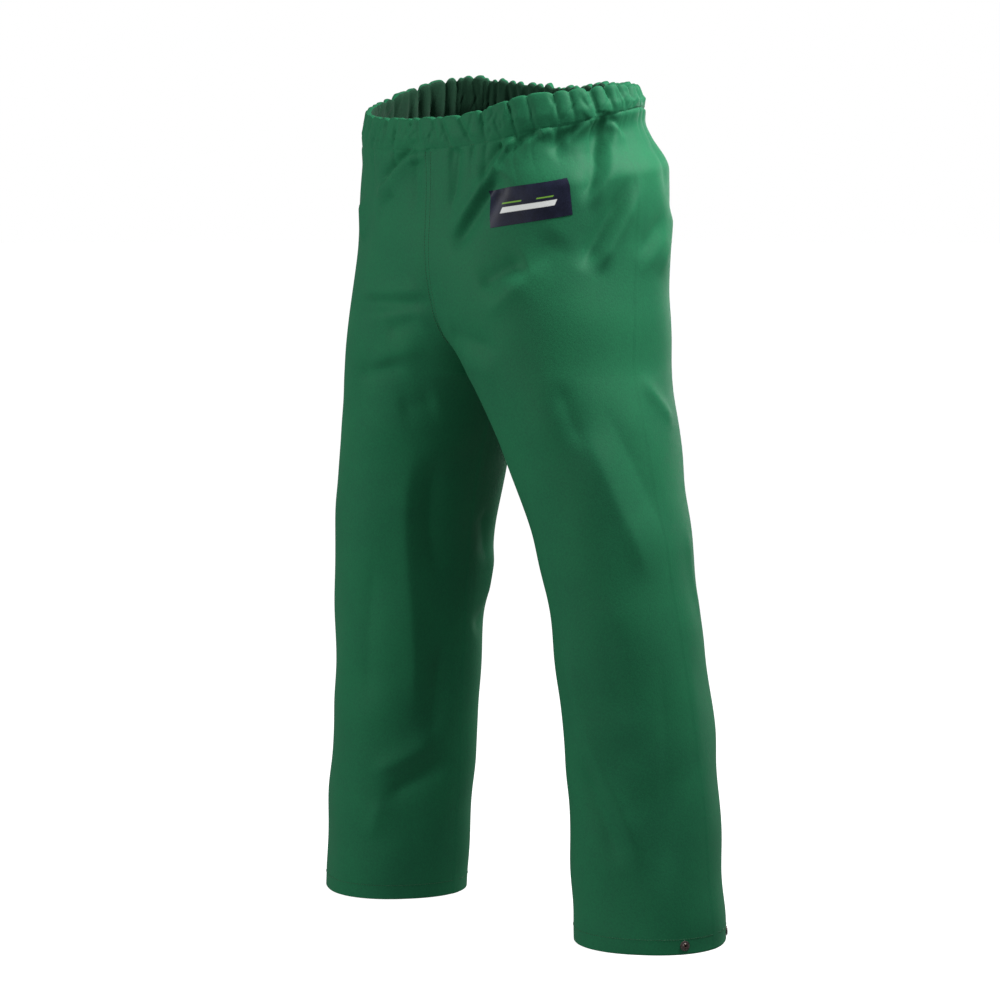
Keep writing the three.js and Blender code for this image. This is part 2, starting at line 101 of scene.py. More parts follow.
# %% Garment sizes, in millimetres
SIDE_LENGTH = 1039.0
INSEAM = 700.0
WAIST_TILT = 0.17
LEG_TURN = math.radians(34)
SEAM_DRIFT = math.radians(10)
OVAL_POWER = 0.9
MIDDLE_SHIFT = 2.6  # the CAD model stands with its middle on the origin
STATION_HEIGHTS = [0, 130, 270, 420, 570, 700, 780, 870, 960, 1039]
HALF_WIDTHS = [94, 92, 92, 92, 98, 113, 149, 185, 208, 201]
HALF_DEPTHS = [94, 95, 97, 102, 114, 130, 142, 146, 140, 127]
OUT = [226, 216, 203.5, 185.5, 155.5, 113.15, 74, 33, 9, 0]
BACK = [14, 14, 12, 6, -3, -11, -7, -1.5, -5, -17]
CLOTH = 0.6
HEM_DEPTH = 22.0
CASING_FOOT = 993.0
CASING_STITCH = 995.8
HEM_STITCH = 19.0


def station_curve(values, at):
    x, y = np.array(STATION_HEIGHTS, float), np.array(values, float)
    step, slope = np.diff(x), np.diff(y) / np.diff(x)
    bend = np.zeros_like(x)
    before, after = 2 * step[1:] + step[:-1], step[1:] + 2 * step[:-1]
    same = slope[1:] * slope[:-1] > 0
    bend[1:-1][same] = (before + after)[same] / (
        before[same] / slope[:-1][same] + after[same] / slope[1:][same]
    )
    bend[0], bend[-1] = slope[0], slope[-1]
    i = np.clip(np.searchsorted(x, at, side="right") - 1, 0, len(x) - 2)
    u = (at - x[i]) / step[i]
    return (
        y[i] * (1 + 2 * u) * (1 - u) ** 2
        + bend[i] * step[i] * u * (1 - u) ** 2
        + y[i + 1] * u * u * (3 - 2 * u)
        + bend[i + 1] * step[i] * u * u * (u - 1)
    )


# %% [markdown]
# A point of the surface has an angle on its oval. Angles run from the inside of the leg through
# the front and the side to the back. Above the crotch the two ovals overlap, so each is cut off
# at the garment's middle, where the front and back seams run.

# %% The oval at a height, and a point on it
def oval_at(height):
    half_width, half_depth, out, back = (
        station_curve(values, np.maximum(height, 0))
        for values in (HALF_WIDTHS, HALF_DEPTHS, OUT, BACK)
    )
    in_leg = height <= INSEAM
    below = np.clip(INSEAM - height, 0, None)
    out = np.where(in_leg, np.maximum(out, half_width + 0.15), np.minimum(out, half_width))
    turn = LEG_TURN * np.clip(below / (0.57 * INSEAM), 0, 1)
    drift = SEAM_DRIFT * below / INSEAM
    cut = np.clip((out - 0.15) / half_width, 0, 1) ** (1 / OVAL_POWER)
    opening = np.where(in_leg, 0, np.arccos(cut))
    front = np.where(in_leg, -np.pi - drift - turn, -np.pi + opening)
    side = np.where(in_leg, drift - turn, 0)
    rear = np.where(in_leg, np.pi - drift - turn, np.pi - opening)
    return half_width, half_depth, out, back, turn, front, side, rear


def on_oval(height, angle):
    half_width, half_depth, out, back, turn = (v[:, None] for v in oval_at(height)[:5])
    c, s = np.cos(angle), np.sin(angle)
    x = half_width * np.sign(c) * np.abs(c) ** OVAL_POWER
    y = half_depth * np.sign(s) * np.abs(s) ** OVAL_POWER
    across = out + x * np.cos(turn) - y * np.sin(turn)
    depth = back + x * np.sin(turn) + y * np.cos(turn)
    tilt = WAIST_TILT * smooth_step(INSEAM, SIDE_LENGTH, height)[:, None]
    return np.stack([across, depth + MIDDLE_SHIFT, height[:, None] + tilt * depth], -1)


# %% [markdown]
# Angles are awkward for sewing. A tailor measures round the leg in millimetres, so a table turns
# each height's angles into lengths from the front seam, and a place on the cloth is then a side,
# a length round and a height. A length may run past a seam: in the leg it goes on round, and
# above the crotch it goes over on to the other half. Lapped seams need that.

# %% Places on the cloth
SAMPLES = 241


def form_table(height):
    front, side, rear = oval_at(height)[5:]
    angle = front[:, None] + (rear - front)[:, None] * np.linspace(0, 1, SAMPLES)
    points = on_oval(height, angle)
    upwards = on_oval(height + 0.5, angle) - on_oval(height - 0.5, angle)
    outward = np.cross(np.gradient(points, axis=1), upwards)
    outward /= np.linalg.norm(outward, axis=2, keepdims=True)
    steps = np.linalg.norm(np.diff(points, axis=1), axis=2)
    lengths = np.concatenate([np.zeros((len(height), 1)), np.cumsum(steps, 1)], 1)
    side_length = np.array(
        [np.interp(s, a, line) for s, a, line in zip(side, angle, lengths)]
    )
    return lengths, side_length, points, outward


def girths(height):
    lengths, side_length, _, _ = form_table(np.asarray(height, float))
    return side_length, lengths[:, -1]


# How much higher than the oval the waist hangs, at places round it from the front seam to the
# wearer's left (minus to the right): for the top edge, and for the stitch line.
TOP_RISE = [
    (-534, 3), (-470, 11), (-420, 20), (-375, 27), (-340, 25), (-305, 21), (-265, 14), (-190, 4),
    (-100, 0), (40, 0), (70, 4), (110, 12), (150, 20), (230, 17), (270, 14), (305, 6), (350, 2),
    (470, 6), (534, 3),
]
STITCH_RISE = [
    (-534, 2), (-375, 14), (-305, 9), (-228, 4), (0, 4), (60, 6), (110, 12), (150, 20),
    (200, 21), (235, 26), (310, 27), (345, 22), (400, 8), (534, 2),
]
HALF_WAIST = 534.0
WAIST_PINCH = 18.0
RIGHT_PINCH = 6.0


def waist_rise(signed, height):
    """Millimetres upwards; `signed` is the length round, scaled to the waist's."""
    def line(points):
        at = (signed + HALF_WAIST) % (2 * HALF_WAIST) - HALF_WAIST
        smooth = sum(
            np.interp(at + shift, [p[0] for p in points], [p[1] for p in points])
            for shift in (-12, -6, 0, 6, 12)
        )
        return smooth / 5

    up = np.clip((height - CASING_STITCH) / (SIDE_LENGTH - CASING_STITCH), 0, 1)
    return (line(STITCH_RISE) * (1 - up) + line(TOP_RISE) * up) * smooth_step(870, 993, height)


def form_at(side, around, height):
    """Points and outward directions on the plain form, in millimetres."""
    around, height = np.broadcast_arrays(np.asarray(around, float), np.asarray(height, float))
    flat_around, flat_height = around.ravel(), height.ravel()
    levels, row = np.unique(flat_height, return_inverse=True)
    lengths, _, points, outward = form_table(levels)
    full, in_leg = lengths[row, -1], flat_height <= INSEAM
    past_rear = np.where(flat_around > full, 2 * full - flat_around, flat_around)
    folded = np.where(flat_around < 0, -flat_around, past_rear)
    wanted = np.where(in_leg, np.mod(flat_around, full), folded)
    crosses = ~in_leg & ((flat_around < 0) | (flat_around > full))
    found = np.empty((len(row), 6))
    order = np.argsort(row, kind="stable")
    ends = np.searchsorted(row[order], range(1, len(levels)))
    for level, picks in enumerate(np.split(order, ends)):
        at, table = wanted[picks], lengths[level]
        for axis in range(3):
            found[picks, axis] = np.interp(at, table, points[level, :, axis])
            found[picks, 3 + axis] = np.interp(at, table, outward[level, :, axis])
    hand = 1 if side == "left" else -1
    mirror = np.where(crosses, -1, 1) * hand
    found[:, 0] *= mirror
    found[:, 3] *= mirror
    found[:, 2] += waist_rise(hand * flat_around * HALF_WAIST / full, flat_height)
    waisted = smooth_step(930, 962, flat_height)
    waisted = waisted + 0.4 * np.exp(-(((flat_height - 975) / 16) ** 2))
    found[:, 0] -= WAIST_PINCH * waisted * smooth_step(60, 200, found[:, 0])
    waisted = smooth_step(985, 1035, flat_height)
    found[:, 0] += RIGHT_PINCH * waisted * smooth_step(60, 200, -found[:, 0])
    return found[:, :3].reshape(*around.shape, 3), found[:, 3:].reshape(*around.shape, 3)


for level in (11.0, 500.0, 924.0, 1039.0):
    to_side, full = girths([level])
    print(f"height {level:6.0f} mm: half girth {full[0]:.0f} mm, side seam at {to_side[0]:.0f} mm")

# %% [markdown]
# ## Folds
#
# Coated cloth is stiff and hangs in a few long folds: they fan out from the gathered waist,
# cross the thigh from the crotch, and collapse softly over the shin. A cloth simulation would
# make folds of its own, in its own places. These are set one by one instead, each as a stroke over
# the cloth with a depth (out is positive), a width, a lean to one side and a fade at each end.

# %% The strokes that make the folds
# side, places (round, up), depth, width, lean, fades at start and end
FOLDS = [
    # left front, fanning from the casing towards the crotch
    ("left", [(45, 1000), (35, 910)], -3.2, 8, 0.0, (0.05, 0.5)),
    ("left", [(115, 1000), (80, 955)], -4.2, 8, 0.0, (0.05, 0.4)),
    ("left", [(135, 1010), (85, 950), (35, 875)], 4.6, 9, 0.0, (0.1, 0.4)),
    ("left", [(165, 1015), (125, 990), (105, 960)], -3.8, 9, 0.0, (0.05, 0.4)),
    ("left", [(115, 970), (70, 905), (40, 860)], -5.4, 12, 0.2, (0.25, 0.35)),
    ("left", [(180, 1015), (140, 990)], 2.6, 8, 0.0, (0.1, 0.5)),
    ("left", [(225, 1020), (180, 980)], -4.6, 9, 0.2, (0.05, 0.5)),
    ("left", [(240, 1020), (190, 980)], 3.6, 8, 0.0, (0.1, 0.5)),
    # the deep fold from the pucker beside the label
    ("left", [(250, 1020), (250, 990), (210, 920)], -7.6, 12, 0.0, (0.0, 0.4)),
    ("left", [(275, 1005), (220, 910)], 5.2, 12, 0.0, (0.1, 0.4)),
    # valley and ridge below it, beside the hip
    ("left", [(285, 955), (245, 890), (215, 830)], -5.6, 13, 0.0, (0.5, 0.35)),
    ("left", [(300, 950), (265, 885), (240, 825)], 5.0, 11, 0.0, (0.5, 0.35)),
    ("left", [(345, 900), (290, 840)], -2.6, 15, 0.0, (0.5, 0.5)),
    ("left", [(360, 880), (300, 820)], 2.2, 16, 0.0, (0.5, 0.5)),
    ("left", [(380, 900), (340, 815)], 3.0, 20, 0.0, (0.3, 0.4)),
    # hip, under the casing
    ("left", [(340, 985), (350, 915)], -2.0, 17, 0.0, (0.3, 0.5)),
    # soft hollows over the left thigh
    ("left", [(190, 885), (140, 805)], -2.4, 22, 0.0, (0.35, 0.4)),
    ("left", [(180, 850), (95, 770)], 3.8, 16, 0.0, (0.5, 0.4)),
    ("left", [(150, 850), (85, 815)], -3.8, 14, 0.0, (0.3, 0.35)),
    ("left", [(30, 750), (140, 730)], -4.5, 13, 0.3, (0.2, 0.5)),
    ("left", [(60, 720), (200, 700)], 3.0, 20, 0.0, (0.3, 0.4)),
    # the long ridge down the outside of the left thigh, with a hollow behind it
    ("left", [(280, 660), (270, 565), (290, 440)], 4.2, 19, 0.0, (0.45, 0.5)),
    ("left", [(315, 680), (325, 560), (335, 485)], -4.2, 24, 0.0, (0.5, 0.5)),
    ("left", [(385, 700), (430, 635)], 3.6, 12, 0.0, (0.4, 0.4)),
    ("left", [(275, 700), (260, 610)], -2.8, 15, 0.0, (0.45, 0.45)),
    ("left", [(390, 525), (375, 475), (390, 385)], 2.4, 15, 0.0, (0.4, 0.45)),
    # left shin, with the pocket where it folds over the foot
    ("left", [(150, 400), (165, 270), (225, 135), (220, 85)], 5.0, 15, 0.0, (0.35, 0.35)),
    ("left", [(150, 240), (205, 100)], -5.4, 17, 0.0, (0.4, 0.4)),
    ("left", [(280, 385), (260, 60)], -4.0, 24, 0.0, (0.4, 0.3)),
    ("left", [(330, 380), (310, 120)], 2.8, 34, 0.0, (0.4, 0.4)),
    ("left", [(220, 420), (215, 340), (220, 270)], -2.2, 26, 0.0, (0.4, 0.4)),
    # right front, under the casing
    ("right", [(0, 1005), (55, 975), (115, 935)], 4.6, 11, -0.5, (0.1, 0.35)),
    ("right", [(20, 1010), (105, 945)], -5.6, 9, 0.0, (0.05, 0.4)),
    ("right", [(60, 940), (110, 915)], -2.6, 11, 0.0, (0.3, 0.4)),
    ("right", [(170, 935), (150, 870)], 3.5, 15, 0.0, (0.35, 0.4)),
    ("right", [(20, 985), (20, 905)], -2.2, 10, 0.0, (0.1, 0.6)),
    # right thigh, drag lines from the crotch
    ("right", [(0, 805), (150, 805)], 3.2, 12, 0.0, (0.35, 0.4)),
    ("right", [(-10, 790), (180, 790)], -4.4, 14, 0.0, (0.35, 0.4)),
    ("right", [(20, 770), (90, 750)], -3.4, 15, 0.2, (0.35, 0.4)),
    ("right", [(0, 780), (130, 770)], 2.6, 14, 0.0, (0.35, 0.4)),
    ("right", [(175, 705), (30, 735)], 3.4, 13, 0.0, (0.4, 0.4)),
    ("right", [(230, 690), (85, 710)], -4.0, 15, 0.0, (0.4, 0.4)),
    ("right", [(140, 650), (85, 660)], -3.0, 16, 0.0, (0.4, 0.4)),
    # right knee and shin, a soft ridge with hollows on its inner side
    ("right", [(105, 620), (110, 500), (75, 300), (80, 215)], 3.8, 18, 0.0, (0.35, 0.35)),
    ("right", [(75, 600), (75, 500), (50, 420)], -5.6, 18, 0.0, (0.4, 0.4)),
    ("right", [(40, 350), (50, 210)], -4.6, 16, 0.0, (0.4, 0.35)),
    ("right", [(40, 215), (135, 165)], 4.6, 13, 0.0, (0.4, 0.4)),
    ("right", [(15, 190), (120, 130)], -5.8, 15, 0.0, (0.4, 0.4)),
    ("right", [(115, 135), (130, 75)], 2.8, 15, 0.0, (0.4, 0.5)),
    ("right", [(140, 470), (145, 345), (135, 240)], -3.4, 20, 0.0, (0.4, 0.4)),
    # inner back of the right leg, seen between the legs
    ("right", [(640, 520), (590, 440)], -3.8, 16, 0.0, (0.4, 0.4)),
    ("right", [(560, 400), (605, 350)], -3.4, 15, 0.0, (0.4, 0.4)),
    ("right", [(575, 470), (580, 360)], 4.0, 18, 0.0, (0.4, 0.4)),
    # seat and backs of the legs
    ("left", [(560, 980), (525, 840), (560, 760)], -3.6, 26, 0.0, (0.4, 0.4)),
    ("left", [(470, 985), (460, 850)], -3.0, 24, 0.0, (0.4, 0.5)),
    ("left", [(600, 770), (500, 710)], -4.0, 26, 0.2, (0.4, 0.45)),
    ("left", [(640, 700), (580, 650), (520, 610)], -3.6, 28, 0.0, (0.4, 0.45)),
    ("left", [(600, 470), (540, 440), (470, 430)], -3.6, 24, 0.0, (0.4, 0.4)),
    ("left", [(590, 400), (530, 385), (460, 400)], -3.2, 22, 0.0, (0.4, 0.4)),
    ("left", [(500, 380), (505, 90)], -4.0, 28, 0.0, (0.3, 0.4)),
    ("left", [(420, 360), (430, 100)], 3.5, 30, 0.0, (0.35, 0.4)),
    ("right", [(560, 980), (530, 840), (555, 780)], -3.4, 26, 0.0, (0.4, 0.4)),
    ("right", [(450, 985), (450, 860)], -3.0, 24, 0.0, (0.4, 0.5)),
    ("right", [(610, 760), (505, 715)], -3.8, 26, 0.2, (0.4, 0.45)),
    ("right", [(620, 690), (500, 630)], -3.6, 28, 0.0, (0.4, 0.45)),
    ("right", [(560, 450), (500, 430), (440, 440)], -3.6, 24, 0.0, (0.4, 0.4)),
    ("right", [(480, 370), (480, 90)], -4.0, 28, 0.0, (0.3, 0.4)),
]
print(len(FOLDS), "folds")

# %% [markdown]
# One stroke's height falls away from its line like a bell that is a little sharper than a true
# one, since cloth bends sharply at a crest. Places are counted from the side seam here, because
# the front and back seams run away from each other just above the crotch, and a fold doesn't. A
# stroke near a seam carries on over it, so it is also measured from the far side of the seam.

# %% Height of the folds at a place
CREST = 1.5
FOLD_LEVELS, FOLD_DEPTHS = (720, 880), (1.2, 1.8)  # folds are deeper near the waist


def rounded(places):
    """The same line with its corners cut off twice, so that a fold bends and doesn't break."""
    for _ in range(2):
        early, late = places[:-1], places[1:]
        cut = np.stack([0.75 * early + 0.25 * late, 0.25 * early + 0.75 * late], 1).reshape(-1, 2)
        places = np.concatenate([places[:1], cut, places[-1:]])
    return places


def stroke_line(stroke):
    """The stroke's line, from the side seam, lowered by as much as the waist hangs up."""
    places = np.array(stroke[1], float)
    to_side, full = girths(places[:, 1])
    hand = 1 if stroke[0] == "left" else -1
    places[:, 1] -= waist_rise(hand * places[:, 0] * HALF_WAIST / full, places[:, 1])
    places[:, 0] -= to_side
    return rounded(places)


LINES = [stroke_line(stroke) for stroke in FOLDS]


def stroke_height(stroke, places, around, height):
    _, _, depth, width, lean, (fade_in, fade_out) = stroke
    margin = 3.2 * width
    near = (around > places[:, 0].min() - margin) & (around < places[:, 0].max() + margin)
    near &= (height > places[:, 1].min() - margin) & (height < places[:, 1].max() + margin)
    total = np.zeros(around.shape)
    if not near.any():
        return total
    x, y = around[near], height[near]
    spans = np.linalg.norm(np.diff(places, axis=0), axis=1)
    starts = np.concatenate([[0], np.cumsum(spans)]) / spans.sum()
    nearest = np.full(x.shape, 1e9)
    along, offset = np.zeros(x.shape), np.zeros(x.shape)
    for i, (a, b) in enumerate(zip(places[:-1], places[1:])):
        way = (b - a) / spans[i]
        dx, dy = x - a[0], y - a[1]
        t = np.clip(dx * way[0] + dy * way[1], 0, spans[i])
        gap = np.hypot(dx - t * way[0], dy - t * way[1])
        closer = gap < nearest
        nearest = np.where(closer, gap, nearest)
        along = np.where(closer, starts[i] + (starts[i + 1] - starts[i]) * t / spans[i], along)
        offset = np.where(closer, way[0] * dy - way[1] * dx, offset)
    reach = width * (1 + lean * np.tanh(offset / width))
    bell = np.exp(-((nearest / reach) ** CREST))
    ends = smooth_step(0, max(0.75 * fade_in, 1e-3), along)
    ends = ends * (1 - smooth_step(1 - max(0.75 * fade_out, 1e-3), 1, along))
    total[near] = np.interp(y, FOLD_LEVELS, FOLD_DEPTHS) * depth * bell * ends
    return total


def folds_at(side, around, height, to_side, full):
    behind = around - to_side
    over = smooth_step(INSEAM - 15, INSEAM + 15, height)
    total = np.zeros(around.shape)
    for stroke, line in zip(FOLDS, LINES):
        if stroke[0] == side:
            total += stroke_height(stroke, line, behind, height)
            total += (1 - over) * stroke_height(stroke, line, behind - full, height)
            total += (1 - over) * stroke_height(stroke, line, behind + full, height)
        else:
            total += over * stroke_height(stroke, line, -around - to_side, height)
            total += over * stroke_height(stroke, line, 2 * full - around - to_side, height)
    return total


# %% [markdown]
# Between the folds the cloth is never quite even. A few long waves in space, with fixed random
# directions, roughen it. They are computed from the place in space, so they run on over seams.

# %% Slow unevenness of the cloth
dice = np.random.default_rng(7)
WAVES = []
for wavelength, size in ((240, 2.0), (170, 1.5), (120, 1.0), (85, 0.5), (60, 0.25)):
    for _ in range(3):
        way = dice.normal(size=3) * (1, 1, 0.35)
        wave = 2 * np.pi / wavelength * way / np.linalg.norm(way)
        WAVES.append((wave, dice.uniform(0, 6.28), size))


def unevenness(points):
    bent = points + 22 * np.sin(points[..., [1, 2, 0]] / 61.0)
    return sum(size * np.sin(bent @ way + start) for way, start, size in WAVES) * 0.55


# %% [markdown]
# ## Gathers
#
# The elastic is shorter than the cloth round it, so the casing crumples into puffs with sharp
# creases between them. A crease has a place on the top edge and one on the stitch line, counted
# from the front seam, to the wearer's left. The front ones are set one by one. The others are
# drawn at random, closer together at the back, where no belly fills the waist.

# %% Creases of the casing: place on the top edge, place on the stitch line
FRONT_CREASES = [
    (-200, -214), (-178, -186), (-155, -168), (-128, -146), (-101, -123), (-80, -92),
    (-58, -70), (-41, -37), (-18, -16), (8, 19), (21, 37), (49, 70), (83, 91), (98, 115),
    (124, 138), (150, 164), (185, 197), (205, 216), (232, 245), (255, 270),
]
TOP_GIRTH, STITCH_GIRTH = (float(girths([level])[1][0]) for level in (SIDE_LENGTH, CASING_STITCH))
creases = list(FRONT_CREASES)
place = FRONT_CREASES[-1][0]
while place < 2 * TOP_GIRTH + FRONT_CREASES[0][0] - 18:
    place += dice.uniform(11, 21) * (1.25 if abs(place - TOP_GIRTH) > 190 else 0.85)
    share = place / TOP_GIRTH
    creases.append((place, share * STITCH_GIRTH + dice.uniform(-9, 9)))
creases = [c for c in creases if c[0] < 2 * TOP_GIRTH + FRONT_CREASES[0][0] - 9]
TOPS = np.array([c[0] for c in creases])
FEET = np.maximum.accumulate(np.array([c[1] for c in creases]))
behind = np.abs(TOPS - TOP_GIRTH) < 250


def drawn(range_behind, range_in_front):
    """One value for each crease, from one range behind and another in front."""
    values_behind = dice.uniform(*range_behind, len(creases))
    return np.where(behind, values_behind, dice.uniform(*range_in_front, len(creases)))


DEPTHS = drawn((3.6, 7.6), (1.6, 4.2))
WIDTHS = drawn((2.8, 4.8), (2.2, 4.2))
UNEVEN = dice.uniform(-1.3, 1.3, len(creases))  # deeper at the top (1) or at the stitches (-1)
for at, depth, width in (
    ((232, 245), 6.5, 5.0), ((255, 270), 5.0, 4.5), ((205, 216), 2.6, 4.0), ((185, 197), 2.6, 3.5),
    ((-101, -123), 2.6, 4.0), ((-155, -168), 2.8, 4.0), ((150, 164), 2.4, 4.0), ((8, 19), 1.8, 3.5),
):
    which = FRONT_CREASES.index(at)
    DEPTHS[which], WIDTHS[which] = depth, width
CRUMPLES = [
    (dice.uniform(-HALF_WAIST, HALF_WAIST), dice.uniform(0.05, 0.95), dice.uniform(-0.9, 0.9),
     dice.uniform(6, 14), dice.uniform(1.8, 3.2), dice.choice([-2.0, -1.4, -1.0, 1.1]))
    for _ in range(150)
]
print(len(creases), "creases round the casing and", len(CRUMPLES), "small crumples")

# How far the puffs stand off, at lengths round the waist from a start to the wearer's right.
STAND_START = 300
STAND_PLACES, STANDS = (0, 60, 480, 620, 800), (5.2, 4.0, 4.2, 7.6, 6.0)


def puff_at(side, around, up):
    """How far the gathered cloth stands off. `up` is 0 at the stitch line, 1 at the top edge."""
    signed = around if side == "left" else -around
    period = 2 * (STITCH_GIRTH + (TOP_GIRTH - STITCH_GIRTH) * up)  # the whole waist
    stand = np.interp(np.mod(signed + STAND_START, period), STAND_PLACES, STANDS)
    for foot, top, depth, width, uneven in zip(FEET, TOPS, DEPTHS, WIDTHS, UNEVEN):
        crease = foot + (top - foot) * up
        away = np.abs(np.mod(signed - crease + period / 2, period) - period / 2)
        stand = stand - depth * (1 + uneven * (up - 0.5)) * np.exp(-((away / width) ** 1.25))
    for middle, level, lean, length, width, depth in CRUMPLES:
        across = np.mod(signed - middle + period / 2, period) - period / 2
        along = (SIDE_LENGTH - CASING_STITCH) * (up - level)
        beside, onward = across - lean * along, along + lean * across
        stand = stand + depth * np.exp(-((beside / width) ** 2) - (onward / length) ** 2)
    return np.maximum(stand, 0)


# %% [markdown]
# The crown of a puff leans against the elastic less than its foot, which the stitches hold down.
# The same gathers run on for a few centimetres below the stitch line and die out.

# %% Everything that moves the cloth off the plain form
SNAP_BEFORE_SEAM = 52.0
SNAP_HEIGHT = 11.0
LABEL_AROUND, LABEL_UP = 149.0, 924.0
GATHER_END, GATHER_FADE = 90, 22  # how far below the stitch line the gathers run, and fade
DEEPEST_PLAIN, DEEPEST_EXTRA = 6, 5  # past the first, a hollow deepens ever more slowly
HIP_HEIGHT, HIP_RISE, HIP_REACH = 905, 32, 95
HIP_BULGE = {"left": 4, "right": 3}


def casing_puff(side, around, height):
    up = np.clip((height - CASING_STITCH) / (SIDE_LENGTH - CASING_STITCH), 0, 1)
    hold = 0.35 + 0.65 * smooth_step(0, 0.4, up) - 0.15 * smooth_step(0.8, 1, up)
    inside = height > CASING_STITCH
    puff = np.zeros(around.shape)
    puff[inside] = puff_at(side, around[inside], up[inside]) * hold[inside]
    return puff


def relief_at(side, around, height, points, to_side, full):
    """Millimetres outwards from the plain form, for the cloth below the casing's stitch line."""
    below = np.clip(CASING_STITCH - height, 0, None)
    gathers = np.zeros(around.shape)
    near = below < GATHER_END
    gathers[near] = (puff_at(side, around[near], 0.0) - 3) * np.exp(-below[near] / GATHER_FADE)
    gathers *= smooth_step(0, 6, below)
    drop = smooth_step(0, 28, below)
    wear = folds_at(side, around, height, to_side, full) * smooth_step(-4, 11, below)
    deeper = DEEPEST_EXTRA * np.tanh((-wear - DEEPEST_PLAIN) / DEEPEST_EXTRA)
    wear = np.where(wear < -DEEPEST_PLAIN, -DEEPEST_PLAIN - deeper, wear)
    wear += unevenness(points) * drop
    hip = np.exp(-(((around - to_side) / HIP_REACH) ** 2))
    wear += hip * np.exp(-(((height - HIP_HEIGHT) / HIP_RISE) ** 2)) * HIP_BULGE[side]
    groove = -0.35 * np.exp(-((below / 1.6) ** 2)) * (height <= CASING_STITCH + 4)
    calm = 1 - 0.85 * np.exp(-((height / 26) ** 2))
    to_seam = np.minimum(np.abs(around), np.abs(full - around))
    crotch = np.exp(-(((height - INSEAM) / 55) ** 2) - (to_seam / 45) ** 2)
    return wear * calm * (1 - 0.85 * crotch) + gathers + groove


# %% [markdown]
# ## Panels
#
# Each panel is one piece of cloth, so each is one flat grid, as it was cut, whose vertices are
# then laid on the body. Along the grid the cloth starts at its raw edge inside the hem, turns
# round the foot, runs up the outside, turns over the elastic and ends at its raw edge inside the
# casing. A row says how high it is, which layer it is in (1 outside, -1 turned inside) and how
# far apart the layers are.

# %% Rows of the cloth, from raw edge to raw edge
HEM_GAP = 0.8  # half the distance between the hem's layers, from middle to middle
TUNNEL_HALF = 1.6  # the same round the elastic


def cloth_rows():
    rows = []  # height, layer, half gap, drop of the fold below or above that height

    def add(height, layer, half_gap, over=0.0):
        rows.append((height, layer, half_gap, over))

    for height in np.arange(HEM_DEPTH, 2.9, -2.4):
        add(height, -1, HEM_GAP)
    for angle in (180, 150, 120, 90, 60, 30, 0):
        turn = math.radians(angle)
        add(1.4, math.cos(turn), HEM_GAP, -0.9 * math.sin(turn))
    for height in np.concatenate(
        [
            np.arange(3, HEM_DEPTH + 4, 2.2),
            np.linspace(HEM_DEPTH + 7, INSEAM, 116),
            INSEAM + 62 * np.linspace(0, 1, 17)[1:] ** 1.8,
            np.linspace(INSEAM + 67, 925, 33),
            np.linspace(928, CASING_FOOT - 1.5, 24),
        ]
    ):
        add(height, 1, 0)
    for height in np.linspace(CASING_FOOT, SIDE_LENGTH - 2.6, 25):
        add(height, 1, 0)
    for angle in (30, 60, 90, 120, 150):
        turn = math.radians(angle)
        add(SIDE_LENGTH - 2.2, math.cos(turn), TUNNEL_HALF, 1.7 * math.sin(turn))
    for height in np.linspace(SIDE_LENGTH - 2.6, CASING_FOOT, 24):
        close = smooth_step(CASING_FOOT + 8, CASING_FOOT + 2, height)
        add(height, -1, TUNNEL_HALF - 0.85 * close)
    return np.array(rows)


ROWS = cloth_rows()
print(len(ROWS), "rows of cloth")

# %% [markdown]
# Neighbouring panels lap over each other by a centimetre, one edge lifted over the other, as a
# lapped seam is sewn. The left half laps over the right in front and behind, and in the legs and
# at the sides the front panel laps over the back. The laps run out at the crotch, where four
# panels meet.

# %% How far a panel reaches past its seams, and how high its edge is lifted
LAP = 5.0
LAP_LIFT = 0.66
FINE_COLUMNS = np.array([0, 1.0, 2.0, 3.2, 4.4, 5.6, 6.8, 8.0, 9.4, 11.0])


def lap_share(height):
    """1 where the middle seam is lapped, fading to 0 at the crotch."""
    return np.where(
        height > INSEAM,
        smooth_step(INSEAM + 14, INSEAM + 50, height),
        1 - smooth_step(INSEAM - 55, INSEAM - 15, height),
    )


def panel_columns(panel, heights, count):
    """Length round for every row and column, with close columns along both edges."""
    to_side, full = girths(heights)
    middle_lap = LAP * lap_share(heights)
    if panel == "front":
        low, high = -middle_lap, to_side + LAP
    else:
        low, high = to_side - LAP, full + middle_lap
    inner = np.linspace(0, 1, count)[None, 1:-1]
    start, end = low[:, None] + FINE_COLUMNS, high[:, None] - FINE_COLUMNS[::-1]
    between = start[:, -1:] + (end[:, :1] - start[:, -1:]) * inner
    return np.concatenate([start, between, end], 1), to_side[:, None], full[:, None]


def edge_lift(side, panel, around, height, to_side, full):
    share = lap_share(height)
    in_leg = height <= INSEAM
    from_middle = around if panel == "front" else full - around
    over_middle = np.where(in_leg, panel == "front", side == "left")
    lift = share * over_middle * (1 - smooth_step(LAP + 1, LAP + 4.5, from_middle))
    if panel == "front":
        lift = lift + (1 - smooth_step(LAP + 1, LAP + 4.5, to_side - around))
    return LAP_LIFT * lift


# %% [markdown]
# Now a grid becomes a panel. The outward shift of a vertex is the folds' height, the lift of a
# lapped edge and, in the casing, the puff, which pushes the outer layer out and the turned layer
# in. Solidify then gives the cloth its thickness, with the knitted backing as the inner face.

